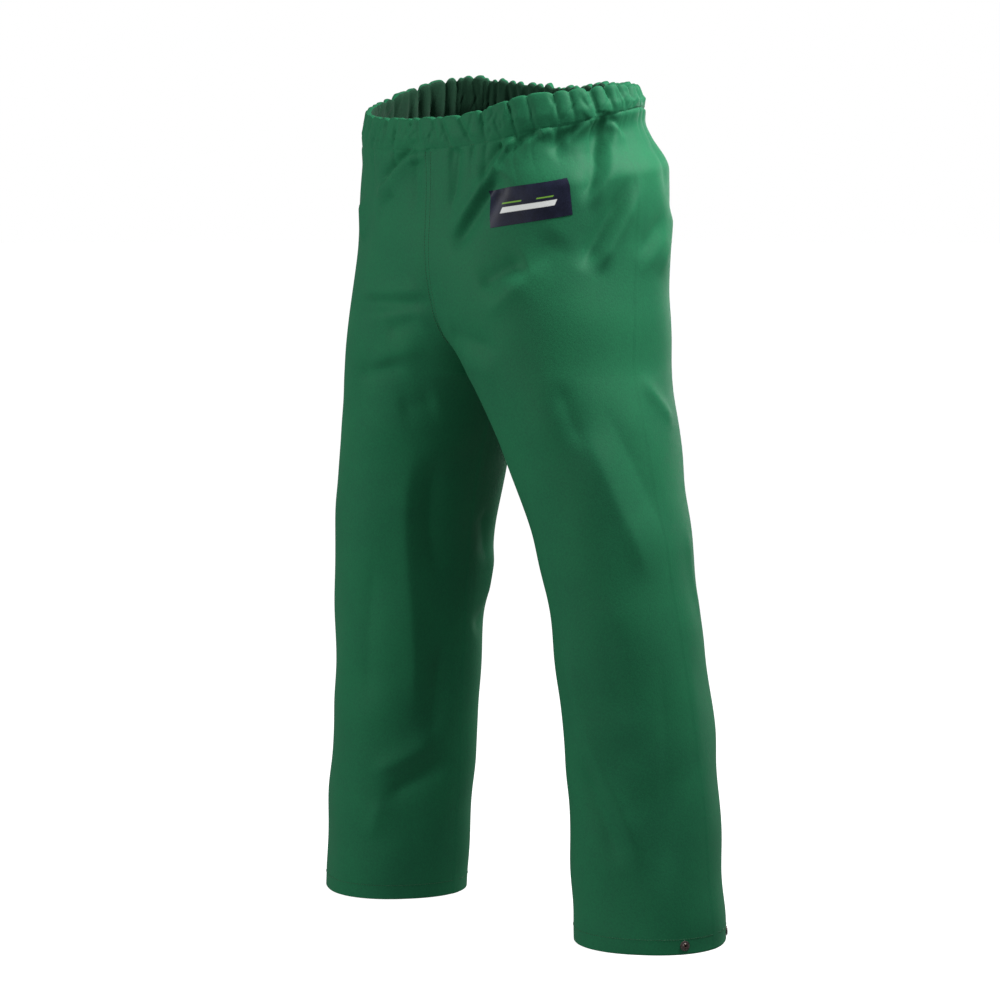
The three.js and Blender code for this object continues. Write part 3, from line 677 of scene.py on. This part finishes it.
# %% Laying one panel
def lay_cloth(side, panel, around, rows, to_side, full):
    height, layer, half_gap, over = (rows[:, i][:, None] for i in range(4))
    height = np.broadcast_to(height, around.shape)
    points, outward = form_at(side, around, height)
    relief = relief_at(side, around, height, points, to_side, full)
    in_casing = height > CASING_STITCH
    puff = casing_puff(side, around, height)
    lift = edge_lift(side, panel, around, height, to_side, full)
    single = half_gap == 0
    sheet = np.where(single, 1.0, layer)
    middle = np.where(single, CLOTH / 2, CLOTH / 2 + half_gap)
    shift = relief - middle + sheet * (half_gap + lift + puff)
    laid = points + outward * shift[..., None]
    crown = smooth_step(0.45, 1, (height - CASING_STITCH) / (SIDE_LENGTH - CASING_STITCH))
    laid[..., 2] += over + in_casing * crown * (1.25 * np.minimum(puff, 6.5) - 3.6)
    keep = 0.55 * (1 if side == "left" else -1)
    near_middle = (height < INSEAM + 14) & (laid[..., 0] * keep < keep * keep)
    laid[..., 0] = np.where(near_middle, keep, laid[..., 0])
    laid[..., 2] = np.maximum(laid[..., 2], CLOTH / 2)
    return laid


def grid_piece(name, points):
    """A grid laid on rows of points in millimetres, and the row and column of each vertex."""
    row_count, column_count = points.shape[:2]
    select_nothing()
    bpy.ops.mesh.primitive_grid_add(
        x_subdivisions=column_count - 1, y_subdivisions=row_count - 1, size=1)
    piece = bpy.context.object
    piece.name = piece.data.name = name
    mesh = piece.data
    flat = np.empty(len(mesh.vertices) * 3)
    mesh.vertices.foreach_get("co", flat)
    flat = flat.reshape(-1, 3) + 0.5
    column = np.rint(flat[:, 0] * (column_count - 1)).astype(int)
    row = np.rint(flat[:, 1] * (row_count - 1)).astype(int)
    mesh.vertices.foreach_set("co", (points[row, column] * MM).ravel())
    mesh.update()
    return piece, row, column


def panel_piece(side, panel):
    columns = 134 if panel == "front" else 140
    around, to_side, full = panel_columns(panel, ROWS[:, 0], columns)
    laid = lay_cloth(side, panel, around, ROWS, to_side, full)
    if side == "right":
        laid, around = laid[:, ::-1], around[:, ::-1]
    piece, row, column = grid_piece(f"{panel}_cloth_{side}", laid)
    mesh = piece.data
    # The piece's own map is the cut cloth in millimetres, for the knit of the backing.
    run = np.linalg.norm(np.diff(laid, axis=0), axis=2).mean(1)
    along = np.concatenate([[0], np.cumsum(run)])
    corners = np.empty(len(mesh.loops), int)
    mesh.loops.foreach_get("vertex_index", corners)
    cut = np.stack([around[row, column], along[row]], 1)[corners]
    mesh.uv_layers[0].data.foreach_set("uv", cut.ravel())
    # The turned-in layer of the casing gets the dark backing material: painted shade for the inside
    # of the waist.
    painted_shade_rows = (ROWS[:, 1] < 0) & (ROWS[:, 0] > CASING_FOOT - 1)
    faces = painted_shade_rows[row[corners]].reshape(-1, 4).all(1)
    mesh.polygons.foreach_set("material_index", faces.astype(np.int32))
    mesh.update()
    width = np.linalg.norm(np.diff(laid, axis=1), axis=2).sum(1)
    across = laid[:, 1:] - laid[:, :-1]
    up = laid[1:] - laid[:-1]
    area = np.linalg.norm(np.cross(across[:-1], up[:, :-1]), axis=2).sum() * MM * MM
    return piece, float(width.max()) * MM, float(along[-1]) * MM, float(area)


def thicken(piece, thickness, backing_and_shade=0):
    select_nothing()
    bpy.context.view_layer.objects.active = piece
    piece.select_set(True)
    solid = piece.modifiers.new("thickness", "SOLIDIFY")
    solid.thickness = thickness * MM
    solid.offset = 0
    solid.material_offset = backing_and_shade
    solid.use_rim = True
    bpy.ops.object.modifier_apply(modifier="thickness")
    bpy.ops.object.shade_smooth_by_angle(angle=math.radians(65))
    select_nothing()


# %% [markdown]
# ## Shader maths
#
# A material is a sum over the surface. One small class wraps a node's output so that the sum
# can be written as a sum, and one method adds any other node.

# %% Writing materials
class Wire:
    """An output of a shader node. Sums with it add Math nodes."""

    def __init__(self, socket):
        self.socket = socket

    def math(self, operation, *values):
        tree = self.socket.id_data
        node = tree.nodes.new("ShaderNodeMath")
        node.operation = operation
        for socket, value in zip(node.inputs, values):
            if isinstance(value, Wire):
                tree.links.new(value.socket, socket)
            else:
                socket.default_value = value
        return Wire(node.outputs[0])

    def __add__(self, other):
        return self.math("ADD", self, other)

    def __sub__(self, other):
        return self.math("SUBTRACT", self, other)

    def __rsub__(self, other):
        return self.math("SUBTRACT", other, self)

    def __mul__(self, other):
        return self.math("MULTIPLY", self, other)

    __radd__, __rmul__ = __add__, __mul__

    def wave(self):
        return self.math("SINE", self)

    def unsigned(self):
        return self.math("ABSOLUTE", self)

    def limit(self):
        self.socket.node.use_clamp = True
        return self

    def step(self, low, high):
        tree = self.socket.id_data
        node = tree.nodes.new("ShaderNodeMapRange")
        node.interpolation_type = "SMOOTHSTEP"
        tree.links.new(self.socket, node.inputs["Value"])
        node.inputs["From Min"].default_value = low
        node.inputs["From Max"].default_value = high
        return Wire(node.outputs[0])


class Finish:
    """One material. `node` adds any node: its type, its settings, then its inputs."""

    def __init__(self, name, **constants):
        self.material = bpy.data.materials.new(name)
        self.material.use_nodes = True
        self.tree = self.material.node_tree
        self.shader = self.tree.nodes["Principled BSDF"]
        for key, value in constants.items():
            self.shader.inputs[key.replace("_", " ")].default_value = value

    def node(self, kind, settings=None, inputs=None, output=0):
        node = self.tree.nodes.new(kind)
        for key, value in (settings or {}).items():
            setattr(node, key, value)
        for key, value in (inputs or {}).items():
            if isinstance(value, Wire):
                self.tree.links.new(value.socket, node.inputs[key])
            else:
                node.inputs[key].default_value = value
        return Wire(node.outputs[output])

    def place(self):
        return self.node("ShaderNodeTexCoord", output="Object")

    def cut(self):
        return self.node("ShaderNodeTexCoord", output="UV")

    def axes(self, where):
        parts = self.node("ShaderNodeSeparateXYZ", inputs={"Vector": where}).socket.node.outputs
        return [Wire(part) for part in parts]

    def noise(self, where, scale, detail=3.0, roughness=0.5):
        inputs = {"Vector": where, "Scale": scale, "Detail": detail, "Roughness": roughness}
        return self.node("ShaderNodeTexNoise", inputs=inputs)

    def blend(self, share, first, second):
        """Two colours mixed. A Mix node's colours are its inputs 6 and 7 and its output 2."""
        return self.node("ShaderNodeMix", {"data_type": "RGBA"}, {0: share, 6: first, 7: second}, 2)

    def feed(self, name, wire):
        self.tree.links.new(wire.socket, self.shader.inputs[name])

    def bump(self, height, strength, distance):
        inputs = {"Height": height, "Strength": strength, "Distance": distance}
        self.feed("Normal", self.node("ShaderNodeBump", inputs=inputs))


def colour(red, green, blue):
    """A screen colour from 0 to 255 as the linear one that a shader takes."""
    channel = [v / 255 for v in (red, green, blue)]
    linear = [v / 12.92 if v <= 0.04045 else ((v + 0.055) / 1.055) ** 2.4 for v in channel]
    return (*linear, 1.0)


# %% [markdown]
# The outside of the cloth is a thin film of polyurethane over a knit: dark green, with the low
# satin shine of the film, and a fine grain where the knit prints through. The grain is a very
# small bump. The green varies slowly, as a coating does, and in small patches.

# %% Coated cloth
coated = Finish("coated_cloth", Specular_IOR_Level=0.13, Sheen_Weight=0.06, Sheen_Roughness=0.6)
coated.shader.inputs["Sheen Tint"].default_value = colour(120, 190, 150)
where = coated.place()
slow = coated.noise(where, 9.0, 2.0)
grain = coated.noise(where, 420.0, 2.0, 0.6)
pebble = coated.noise(where, 950.0, 2.0, 0.6)
patches = coated.noise(where, 55.0, 3.0, 0.6)
tone = (slow * 0.35 + patches * 0.15 + grain * 0.5).step(0.3, 0.7)
coated.feed("Base Color", coated.blend(tone, colour(25, 91, 62), colour(28, 104, 68)))
coated.feed("Roughness", 0.56 + 0.12 * patches + 0.06 * grain)
coated.bump(grain * 0.6 + pebble * 0.4, 0.5, 0.0006)

# %% [markdown]
# The inside is the bare knit, duller and greyer, with its fine ribs. Its dark green is partly the
# knit's own and partly painted shade, for the casing's turned layer seen inside the waist. The ribs
# follow the cut cloth, so they read the panel's own map, which is in millimetres.

# %% Knitted backing
backing_and_shade = Finish("knitted_backing_painted_shade", Roughness=0.85, Sheen_Weight=0.08, Specular_IOR_Level=0.2)
RIB_STEP, LOOP_STEP = 1.6, 1.1  # millimetres
across_knit, along_knit, _ = backing_and_shade.axes(backing_and_shade.cut())
ribs = (across_knit * (2 * math.pi / RIB_STEP)).wave()
loops = (along_knit * (2 * math.pi / LOOP_STEP)).wave()
knit = ribs * 0.5 + loops * 0.3 + 0.5
fuzz = backing_and_shade.noise(backing_and_shade.place(), 600.0, 3.0)
# The two greens are the knit's dark green, darkened further as painted shade for the inside of the
# waist.
backing_and_shade.feed("Base Color", backing_and_shade.blend(
    (knit * 0.5 + fuzz * 0.5).step(0.2, 0.8), colour(11, 44, 28), colour(20, 66, 43)))
backing_and_shade.bump(knit * 0.5 + fuzz * 0.5, 0.4, 0.0004)

# %% [markdown]
# The panels are made one after another. Each gets the coating outside and the backing inside.
# Its flat size isn't that of a real pattern: it is measured on the laid cloth, folds and all.

# %% The four panels
for side in ("left", "right"):
    for panel in ("front", "back"):
        piece, width, length, area = panel_piece(side, panel)
        piece.data.materials.append(coated.material)
        piece.data.materials.append(backing_and_shade.material)
        thicken(piece, CLOTH, backing_and_shade=1)
        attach(piece, "root")
        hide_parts(f"{panel}_panel_{side}")
        print(piece.name, "is", round(width, 3), "by", round(length, 3), "m, area", round(area, 3),
              "faces", len(piece.data.polygons))

# %% [markdown]
# ## Elastic
#
# A band of white knitted elastic lies in the tunnel of the casing. It shows only if the casing is
# opened, but the gathers hang on it. It is a strip whose two ends meet at the front seam.

# %% Waist elastic
elastic_finish = Finish("knitted_elastic", Roughness=0.8)
where = elastic_finish.place()
cords = (elastic_finish.axes(where)[2] * 4200.0).wave()
fuzz = elastic_finish.noise(where, 500.0, 3.0)
elastic_finish.feed("Base Color", elastic_finish.blend(
    fuzz.step(0.3, 0.7), colour(205, 203, 194), colour(232, 230, 222)))
elastic_finish.bump(cords * 0.4 + fuzz * 0.4, 0.5, 0.0005)


def strip_piece(name, points, closed=False):
    """A grid laid on rows of points, in millimetres, its two ends joined if it is closed."""
    piece = grid_piece(name, points)[0]
    if closed:
        bpy.ops.object.mode_set(mode="EDIT")
        bpy.ops.mesh.select_all(action="SELECT")
        bpy.ops.mesh.remove_doubles(threshold=0.01 * MM)
        bpy.ops.object.mode_set(mode="OBJECT")
    return piece


def cloth_points(side, around, height, out):
    """Points that far outside the cloth's outer face, below the casing's stitch line."""
    around, height = np.broadcast_arrays(np.asarray(around, float), np.asarray(height, float))
    points, outward = form_at(side, around, height)
    to_side, full = girths(height.ravel())
    to_side, full = to_side.reshape(height.shape), full.reshape(height.shape)
    relief = relief_at(side, around, height, points, to_side, full)
    return points + outward * (relief + out)[..., None], outward


levels = np.linspace(1002.0, 1034.0, 9)
rounds = []
for level in levels:
    half = girths([level])[1][0]
    out = -(CLOTH + TUNNEL_HALF - CLOTH / 2)
    steps = np.linspace(0, half, 181)
    left, left_out = form_at("left", steps, level)
    right, right_out = form_at("right", steps[::-1], level)
    rounds.append(np.concatenate([left + out * left_out, (right + out * right_out)[1:]]))
elastic = strip_piece("elastic_band", np.array(rounds), closed=True)
elastic.data.materials.append(elastic_finish.material)
thicken(elastic, 1.2)
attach(elastic, "root")
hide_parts("waist_elastic")
print("elastic", len(elastic.data.polygons), "faces")

# %% [markdown]
# ## Seam tape
#
# Needle holes would let water in, so a film is welded over each seam inside. It follows the
# inside of the cloth, folds and all.

# %% Tapes
tape_finish = Finish("seam_tape", Specular_IOR_Level=0.5)
where = tape_finish.place()
waves = tape_finish.noise(where, 160.0, 2.0)
tape_finish.feed("Base Color", tape_finish.blend(
    waves.step(0.35, 0.65), colour(38, 84, 64), colour(52, 100, 78)))
tape_finish.feed("Roughness", 0.28 + 0.2 * waves)
tape_finish.bump(waves, 0.3, 0.0004)

TAPE_HALF, TAPE_OUT = 10.0, -1.6


def seam_place(seam, height):
    to_side, full = girths(height)
    return {"side": to_side, "front": 0 * full, "back": full}[seam]


def tape_piece(name, side, seam, low, high):
    height = np.linspace(low, high, int((high - low) / 5) + 2)
    offsets = np.linspace(-TAPE_HALF, TAPE_HALF, 11)
    around = seam_place(seam, height)[:, None] + offsets
    points, _ = cloth_points(side, around, height[:, None] + 0 * around, TAPE_OUT)
    return strip_piece(name, points)


TAPES = [("front_tape", "left", "front", 726, 991, "front_seam_tape"),
         ("back_tape", "left", "back", 726, 991, "back_seam_tape")]
for side in ("left", "right"):
    TAPES.append((f"side_tape_{side}", side, "side", 24, 991, f"side_seam_tape_{side}"))
    TAPES.append((f"leg_tape_{side}", side, "front", 24, 675, f"inside_leg_tape_{side}"))
for name, side, seam, low, high, node in TAPES:
    tape = tape_piece(name, side, seam, low, high)
    tape.data.materials.append(tape_finish.material)
    thicken(tape, 0.3)
    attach(tape, "root")
    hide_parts(node)

# %% [markdown]
# ## Stitches
#
# A stitch row is hundreds of equal stitches. One is modelled: a short six-sided rod whose ends
# narrow and dive into the cloth. Copies of it are then turned to follow the seams.

# %% One stitch
STITCH_LENGTH, STITCH_STEP = 2.6, 3.4


def one_stitch():
    select_nothing()
    bpy.ops.mesh.primitive_cylinder_add(
        vertices=6, radius=0.42 * MM, depth=0.5 * STITCH_LENGTH * MM,
        rotation=(0, math.pi / 2, 0), end_fill_type="NGON")
    rod = bpy.context.object
    bpy.ops.object.transform_apply(location=False, rotation=True, scale=False)
    for end in (-1, 1):
        bpy.ops.object.mode_set(mode="EDIT")
        bpy.ops.mesh.select_all(action="DESELECT")
        bpy.ops.object.mode_set(mode="OBJECT")
        for face in rod.data.polygons:
            face.select = face.normal.x * end > 0.9
        bpy.ops.object.mode_set(mode="EDIT")
        bpy.ops.mesh.extrude_region_move(
            TRANSFORM_OT_translate={"value": (0.25 * end * STITCH_LENGTH * MM, 0, -0.35 * MM)})
        bpy.ops.transform.resize(value=(1, 0.55, 0.55))
    bpy.ops.object.mode_set(mode="OBJECT")
    points = np.empty(len(rod.data.vertices) * 3)
    rod.data.vertices.foreach_get("co", points)
    faces = [tuple(face.vertices) for face in rod.data.polygons]
    bpy.data.objects.remove(rod)
    return points.reshape(-1, 3) / MM, faces


stitch_points, stitch_faces = one_stitch()
print("one stitch:", len(stitch_faces), "faces")

# %% [markdown]
# A row is given as a line over the cloth. It is cut into equal steps, and each step gets a copy
# turned along the line and set on the cloth.

# %% Rows of stitches
thread = Finish("sewing_thread", Roughness=0.6)
where = thread.place()
twist = thread.noise(where, 1500.0, 2.0)
thread.feed("Base Color", thread.blend(
    twist.step(0.3, 0.7), colour(16, 66, 42), colour(34, 104, 66)))
thread.bump(twist, 0.4, 0.0002)


def stitch_row(line, outward):
    """Vertices of stitches along a line of points, in millimetres."""
    steps = np.linalg.norm(np.diff(line, axis=0), axis=1)
    run = np.concatenate([[0], np.cumsum(steps)])
    count = int(run[-1] / STITCH_STEP)
    places = (np.arange(count) + 0.5) * run[-1] / count

    def on(points, at):
        return np.stack([np.interp(at, run, points[:, i]) for i in range(3)], 1)

    centre = on(line, places)
    along = on(line, places + 1.2) - on(line, places - 1.2)
    along /= np.linalg.norm(along, axis=1, keepdims=True)
    up = on(outward, places)
    aside = np.cross(up, along)
    aside /= np.linalg.norm(aside, axis=1, keepdims=True)
    up = np.cross(along, aside)
    basis = np.stack([along, aside, up], 1)
    return centre[:, None] + np.einsum("vk,nkj->nvj", stitch_points, basis)


def stitch_piece(name, rows, node):
    points = np.concatenate(rows).reshape(-1, 3)
    size = len(stitch_points)
    faces = [tuple(i * size + v for v in face)
             for i in range(len(points) // size) for face in stitch_faces]
    mesh = bpy.data.meshes.new(name)
    mesh.from_pydata((points * MM).tolist(), [], faces)
    piece = bpy.data.objects.new(name, mesh)
    bpy.context.scene.collection.objects.link(piece)
    mesh.materials.append(thread.material)
    mesh.polygons.foreach_set("use_smooth", [True] * len(mesh.polygons))
    mesh.update()
    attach(piece, "root")
    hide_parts(node)
    print(name, len(points) // size, "stitches")


def ring_line(side, height, out):
    full = girths([height])[1][0]
    steps = np.linspace(0, full, 400)
    return cloth_points(side, steps, height, out)


THREAD_OUT = 0.15  # of the middle of a stitch past the cloth
HALF_TWIN = 3.5  # between a seam and each of its two rows
waist_rows = [stitch_row(*ring_line(side, CASING_STITCH, THREAD_OUT)) for side in ("left", "right")]
stitch_piece("waist_stitches", waist_rows, "waist_stitching")
for side in ("left", "right"):
    hem_row = stitch_row(*ring_line(side, HEM_STITCH, THREAD_OUT))
    stitch_piece(f"hem_stitches_{side}", [hem_row], f"hem_stitching_{side}")
for seam in ("front", "back"):
    for side, offset in (("left", HALF_TWIN), ("right", -HALF_TWIN)):
        height = np.linspace(738, 992, 200)
        around = seam_place(seam, height) + offset * (1 if seam == "front" else -1)
        seam_row = stitch_row(*cloth_points("left", around, height, LAP_LIFT + 0.12))
        stitch_piece(f"{seam}_stitches_{side}", [seam_row], f"{seam}_seam_stitching_{side}")

# %% [markdown]
# ## Label
#
# A dark satin label is sealed to the left front. It follows the folds under it. Its print is a
# plain slanted bar and two short lines, drawn with sums on the label's own map, so no letters and
# no mark are on it.

# %% Label
LABEL_SIZE = (103.0, 50.0)
LABEL_SLANT = math.radians(7)

u = np.linspace(-0.5, 0.5, 70)[None, :] * LABEL_SIZE[0]
v = np.linspace(-0.5, 0.5, 36)[:, None] * LABEL_SIZE[1]
label_around = LABEL_AROUND + u * math.cos(LABEL_SLANT) - v * math.sin(LABEL_SLANT)
label_height = LABEL_UP + u * math.sin(LABEL_SLANT) + v * math.cos(LABEL_SLANT)
half_girth = girths([LABEL_UP])[1][0]
label_height = label_height - waist_rise(label_around * HALF_WAIST / half_girth, label_height)
label_points, _ = cloth_points("left", label_around, label_height, 0.45)
label = strip_piece("label", label_points)

label_finish = Finish("label_satin", Specular_IOR_Level=0.12)
x, y, _ = label_finish.axes(label_finish.cut())
BAR_SLANT, SOFT_X, SOFT_Y = 0.25, 0.006, 0.012  # shares of the label, as all its places are


def bar(middle_x, middle_y, half_x, half_y):
    """1 inside a slanted bar, with a soft edge."""
    up = y - middle_y
    across, up = (x - up * BAR_SLANT - middle_x).unsigned(), up.unsigned()
    outside_x = across.step(half_x - SOFT_X, half_x + SOFT_X)
    return (1 - outside_x) * (1 - up.step(half_y - SOFT_Y, half_y + SOFT_Y))


print_bar = bar(0.49, 0.42, 0.33, 0.075)
print_line = bar(0.30, 0.60, 0.12, 0.018) + bar(0.70, 0.60, 0.10, 0.018)
weave = label_finish.noise(label_finish.place(), 900.0, 2.0)
cloudy = label_finish.noise(label_finish.place(), 45.0, 2.0)
ground = label_finish.blend(
    (weave * 0.4 + cloudy * 0.6).step(0.35, 0.68), colour(20, 22, 36), colour(34, 38, 58))
inked = label_finish.blend(print_line.limit(), ground, colour(120, 170, 60))
label_finish.feed("Base Color", label_finish.blend(print_bar, inked, colour(226, 228, 226)))
label_finish.feed("Roughness", 0.34 + 0.12 * cloudy)
label_finish.bump(weave, 0.25, 0.0002)
label.data.materials.append(label_finish.material)
thicken(label, 0.4)
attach(label, "root")
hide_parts("label_patch")
print("label from", label_points.min((0, 1)).round(1), "to", label_points.max((0, 1)).round(1))

# %% [markdown]
# ## Snap fasteners
#
# The stud is a pressed ring with a raised crown, held by an eyelet through the cloth. Behind the
# side seam sits its cap, with the socket inside. Each is a turned form: a circle is extruded and
# resized ring by ring along its outline, as a lathe would cut it.

# %% Turned pieces
def turned(name, outline, sides=40):
    """A closed ring or dome from (radius, height) pairs in millimetres."""
    select_nothing()
    radius, level = outline[0]
    bpy.ops.mesh.primitive_circle_add(
        vertices=sides, radius=radius * MM, location=(0, 0, level * MM))
    piece = bpy.context.object
    piece.name = piece.data.name = name
    bpy.ops.object.transform_apply(location=True, rotation=False, scale=False)
    bpy.ops.object.mode_set(mode="EDIT")
    bpy.ops.mesh.select_all(action="SELECT")
    for next_radius, next_level in [*outline[1:], outline[0]]:
        bpy.ops.mesh.extrude_edges_move(
            TRANSFORM_OT_translate={"value": (0, 0, (next_level - level) * MM)})
        factor = next_radius / radius
        bpy.ops.transform.resize(value=(factor, factor, 1))
        radius, level = next_radius, next_level
    bpy.ops.mesh.select_all(action="SELECT")
    bpy.ops.mesh.remove_doubles(threshold=0.002 * MM)
    bpy.ops.mesh.normals_make_consistent(inside=False)
    bpy.ops.object.mode_set(mode="OBJECT")
    bpy.ops.object.shade_smooth_by_angle(angle=math.radians(40))
    select_nothing()
    return piece


STUD = [(2.2, 0.2), (5.9, 0.2), (6.2, 0.35), (6.2, 0.7), (5.8, 1.0), (4.4, 1.05), (3.6, 1.2),
        (3.3, 1.6), (3.1, 2.2), (3.3, 2.7), (3.0, 3.0), (2.5, 3.05), (2.2, 2.8)]
EYELET = [(1.3, -3.1), (5.6, -3.1), (6.1, -2.9), (6.1, -2.5), (5.6, -2.3), (2.0, -2.3),
          (2.0, 2.9), (2.6, 3.1), (2.9, 3.3), (2.6, 3.55), (1.9, 3.5), (1.4, 3.1)]
CAP = [(0.05, 2.0), (0.05, -3.4), (1.9, -3.4), (1.9, 0.2), (5.9, 0.2), (6.2, 0.4), (6.1, 0.9),
       (5.4, 1.4), (4.2, 1.75), (2.4, 1.95)]
SOCKET = [(2.3, -2.3), (2.3, -3.4), (3.1, -3.8), (3.3, -4.8), (4.4, -4.9), (5.0, -4.4),
          (5.6, -3.2), (6.1, -2.9), (6.1, -2.4), (5.8, -2.3)]

metal = Finish("darkened_metal", Metallic=1.0)
tarnish = metal.noise(metal.place(), 700.0, 3.0)
metal.feed("Base Color", metal.blend(
    tarnish.step(0.35, 0.7), colour(118, 112, 108), colour(74, 62, 58)))
metal.feed("Roughness", 0.28 + 0.2 * tarnish)
metal.bump(tarnish, 0.15, 0.0002)
rim_metal = Finish("brown_metal", Metallic=0.9)
tarnish = rim_metal.noise(rim_metal.place(), 600.0, 3.0)
rim_metal.feed("Base Color", rim_metal.blend(
    tarnish.step(0.35, 0.7), colour(98, 80, 75), colour(50, 41, 39)))
rim_metal.feed("Roughness", 0.4 + 0.2 * tarnish)

# %% [markdown]
# Each model is copied to both hems with a mesh of its own, turned so that it sits square on the
# cloth: the stud and its eyelet before the side seam, the cap and its socket behind it.

# %% Snaps at both hems
snap_models = {
    "snap_stud": (turned("stud_model", STUD), "stud", metal),
    "snap_eyelet": (turned("eyelet_model", EYELET), "eyelet", rim_metal),
    "snap_cap": (turned("cap_model", CAP), "cap", metal),
    "snap_socket": (turned("socket_model", SOCKET), "socket", metal),
}
for side in ("left", "right"):
    to_side = girths([SNAP_HEIGHT])[0][0]
    for node, (model, name, finish) in snap_models.items():
        front = node in ("snap_stud", "snap_eyelet")
        around = to_side + SNAP_BEFORE_SEAM * (-1 if front else 1)
        middle, outward = cloth_points(side, [around], [SNAP_HEIGHT], 0.0)
        above, _ = cloth_points(side, [around], [SNAP_HEIGHT + 4], 0.0)
        aside = np.cross(above[0] - middle[0], outward[0])
        aside /= np.linalg.norm(aside)
        up = np.cross(outward[0], aside)
        basis = np.stack([aside, up, outward[0]])
        piece = bpy.data.objects.new(f"{name}_{side}", model.data.copy())
        piece.data.name = piece.name
        bpy.context.scene.collection.objects.link(piece)
        points = np.empty(len(piece.data.vertices) * 3)
        piece.data.vertices.foreach_get("co", points)
        placed = points.reshape(-1, 3) @ basis + middle[0] * MM
        piece.data.vertices.foreach_set("co", placed.ravel())
        piece.data.update()
        piece.data.materials.append(finish.material)
        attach(piece, "root")
        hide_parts(f"{node}_{side}")
for model, _, _ in snap_models.values():
    bpy.data.objects.remove(model)
print(2 * len(snap_models), "snap pieces")

# %% [markdown]
# ## Which pieces are cloth
#
# A panel's flat size is measured on the finished shape, so it can't show whether that shape is
# right. A panel's and a tape's are measured on the finished shape, so they can't show whether that
# shape is right. The panels hang from the elastic. A tape lies over a seam, so on two panels, and
# the label lies on one.

# %% [markdown]
# ## Floor and light
#
# A large pale floor and a white surround, as in a studio. Four lamps light the garment: one high
# on the wearer's left for the hip and the top, a wide one at the front right for the fronts of the
# legs, a weak one low at the front left, and a wide one behind for the seat and the backs of the
# legs. The surround fills the rest a little, so the insides of the legs stay dark.

# %% Floor
floor_finish = Finish("floor", Roughness=0.9, Emission_Strength=0.92)
floor_finish.shader.inputs["Emission Color"].default_value = (1, 1, 1, 1)
floor_finish.feed("Base Color", floor_finish.blend(
    floor_finish.noise(floor_finish.place(), 3.0), (0.36, 0.36, 0.36, 1), (0.39, 0.39, 0.39, 1)))
select_nothing()
bpy.ops.mesh.primitive_plane_add(size=400, location=(0, 0, 0))
floor = bpy.context.object
floor.name = floor.data.name = "floor"
floor.data.materials.append(floor_finish.material)
floor.visible_diffuse = False
floor.visible_glossy = False


def lamp(name, place, aim, size, power):
    light = bpy.data.lights.new(name, "AREA")
    light.shape, light.size, light.energy = "DISK", size, power
    stand = bpy.data.objects.new(name, light)
    bpy.context.scene.collection.objects.link(stand)
    stand.location = place
    way = np.array(aim) - np.array(place)
    stand.rotation_euler = (
        math.atan2(math.hypot(way[0], way[1]), -way[2]), 0, math.atan2(-way[0], way[1]))


# %% Lamps and surround
lamp("high_left_lamp", (0.86, 0.34, 1.82), (0.14, 0, 0.88), 0.45, 34)
lamp("right_lamp", (-1.15, -2.5, 1.45), (0.15, 0, 0.75), 0.9, 37)
lamp("front_lamp", (0.5, -2.4, 0.8), (0.25, 0, 0.5), 0.9, 8)
lamp("back_lamp", (-0.4, 2.9, 1.2), (0, 0, 0.6), 1.2, 22)
world = bpy.data.worlds.new("surround")
bpy.context.scene.world = world
world.use_nodes = True
sky = world.node_tree
backdrop, lit = sky.nodes["Background"], sky.nodes.new("ShaderNodeBackground")
backdrop.inputs["Color"].default_value = (1, 1, 1, 1)
lit.inputs["Color"].default_value = (0.97, 0.99, 1, 1)
lit.inputs["Strength"].default_value = 0.28
seen = sky.nodes.new("ShaderNodeLightPath")
either = sky.nodes.new("ShaderNodeMixShader")
sky.links.new(seen.outputs["Is Camera Ray"], either.inputs[0])
sky.links.new(lit.outputs[0], either.inputs[1])
sky.links.new(backdrop.outputs[0], either.inputs[2])
sky.links.new(either.outputs[0], sky.nodes["World Output"].inputs["Surface"])
bpy.context.scene.view_settings.view_transform = "Standard"
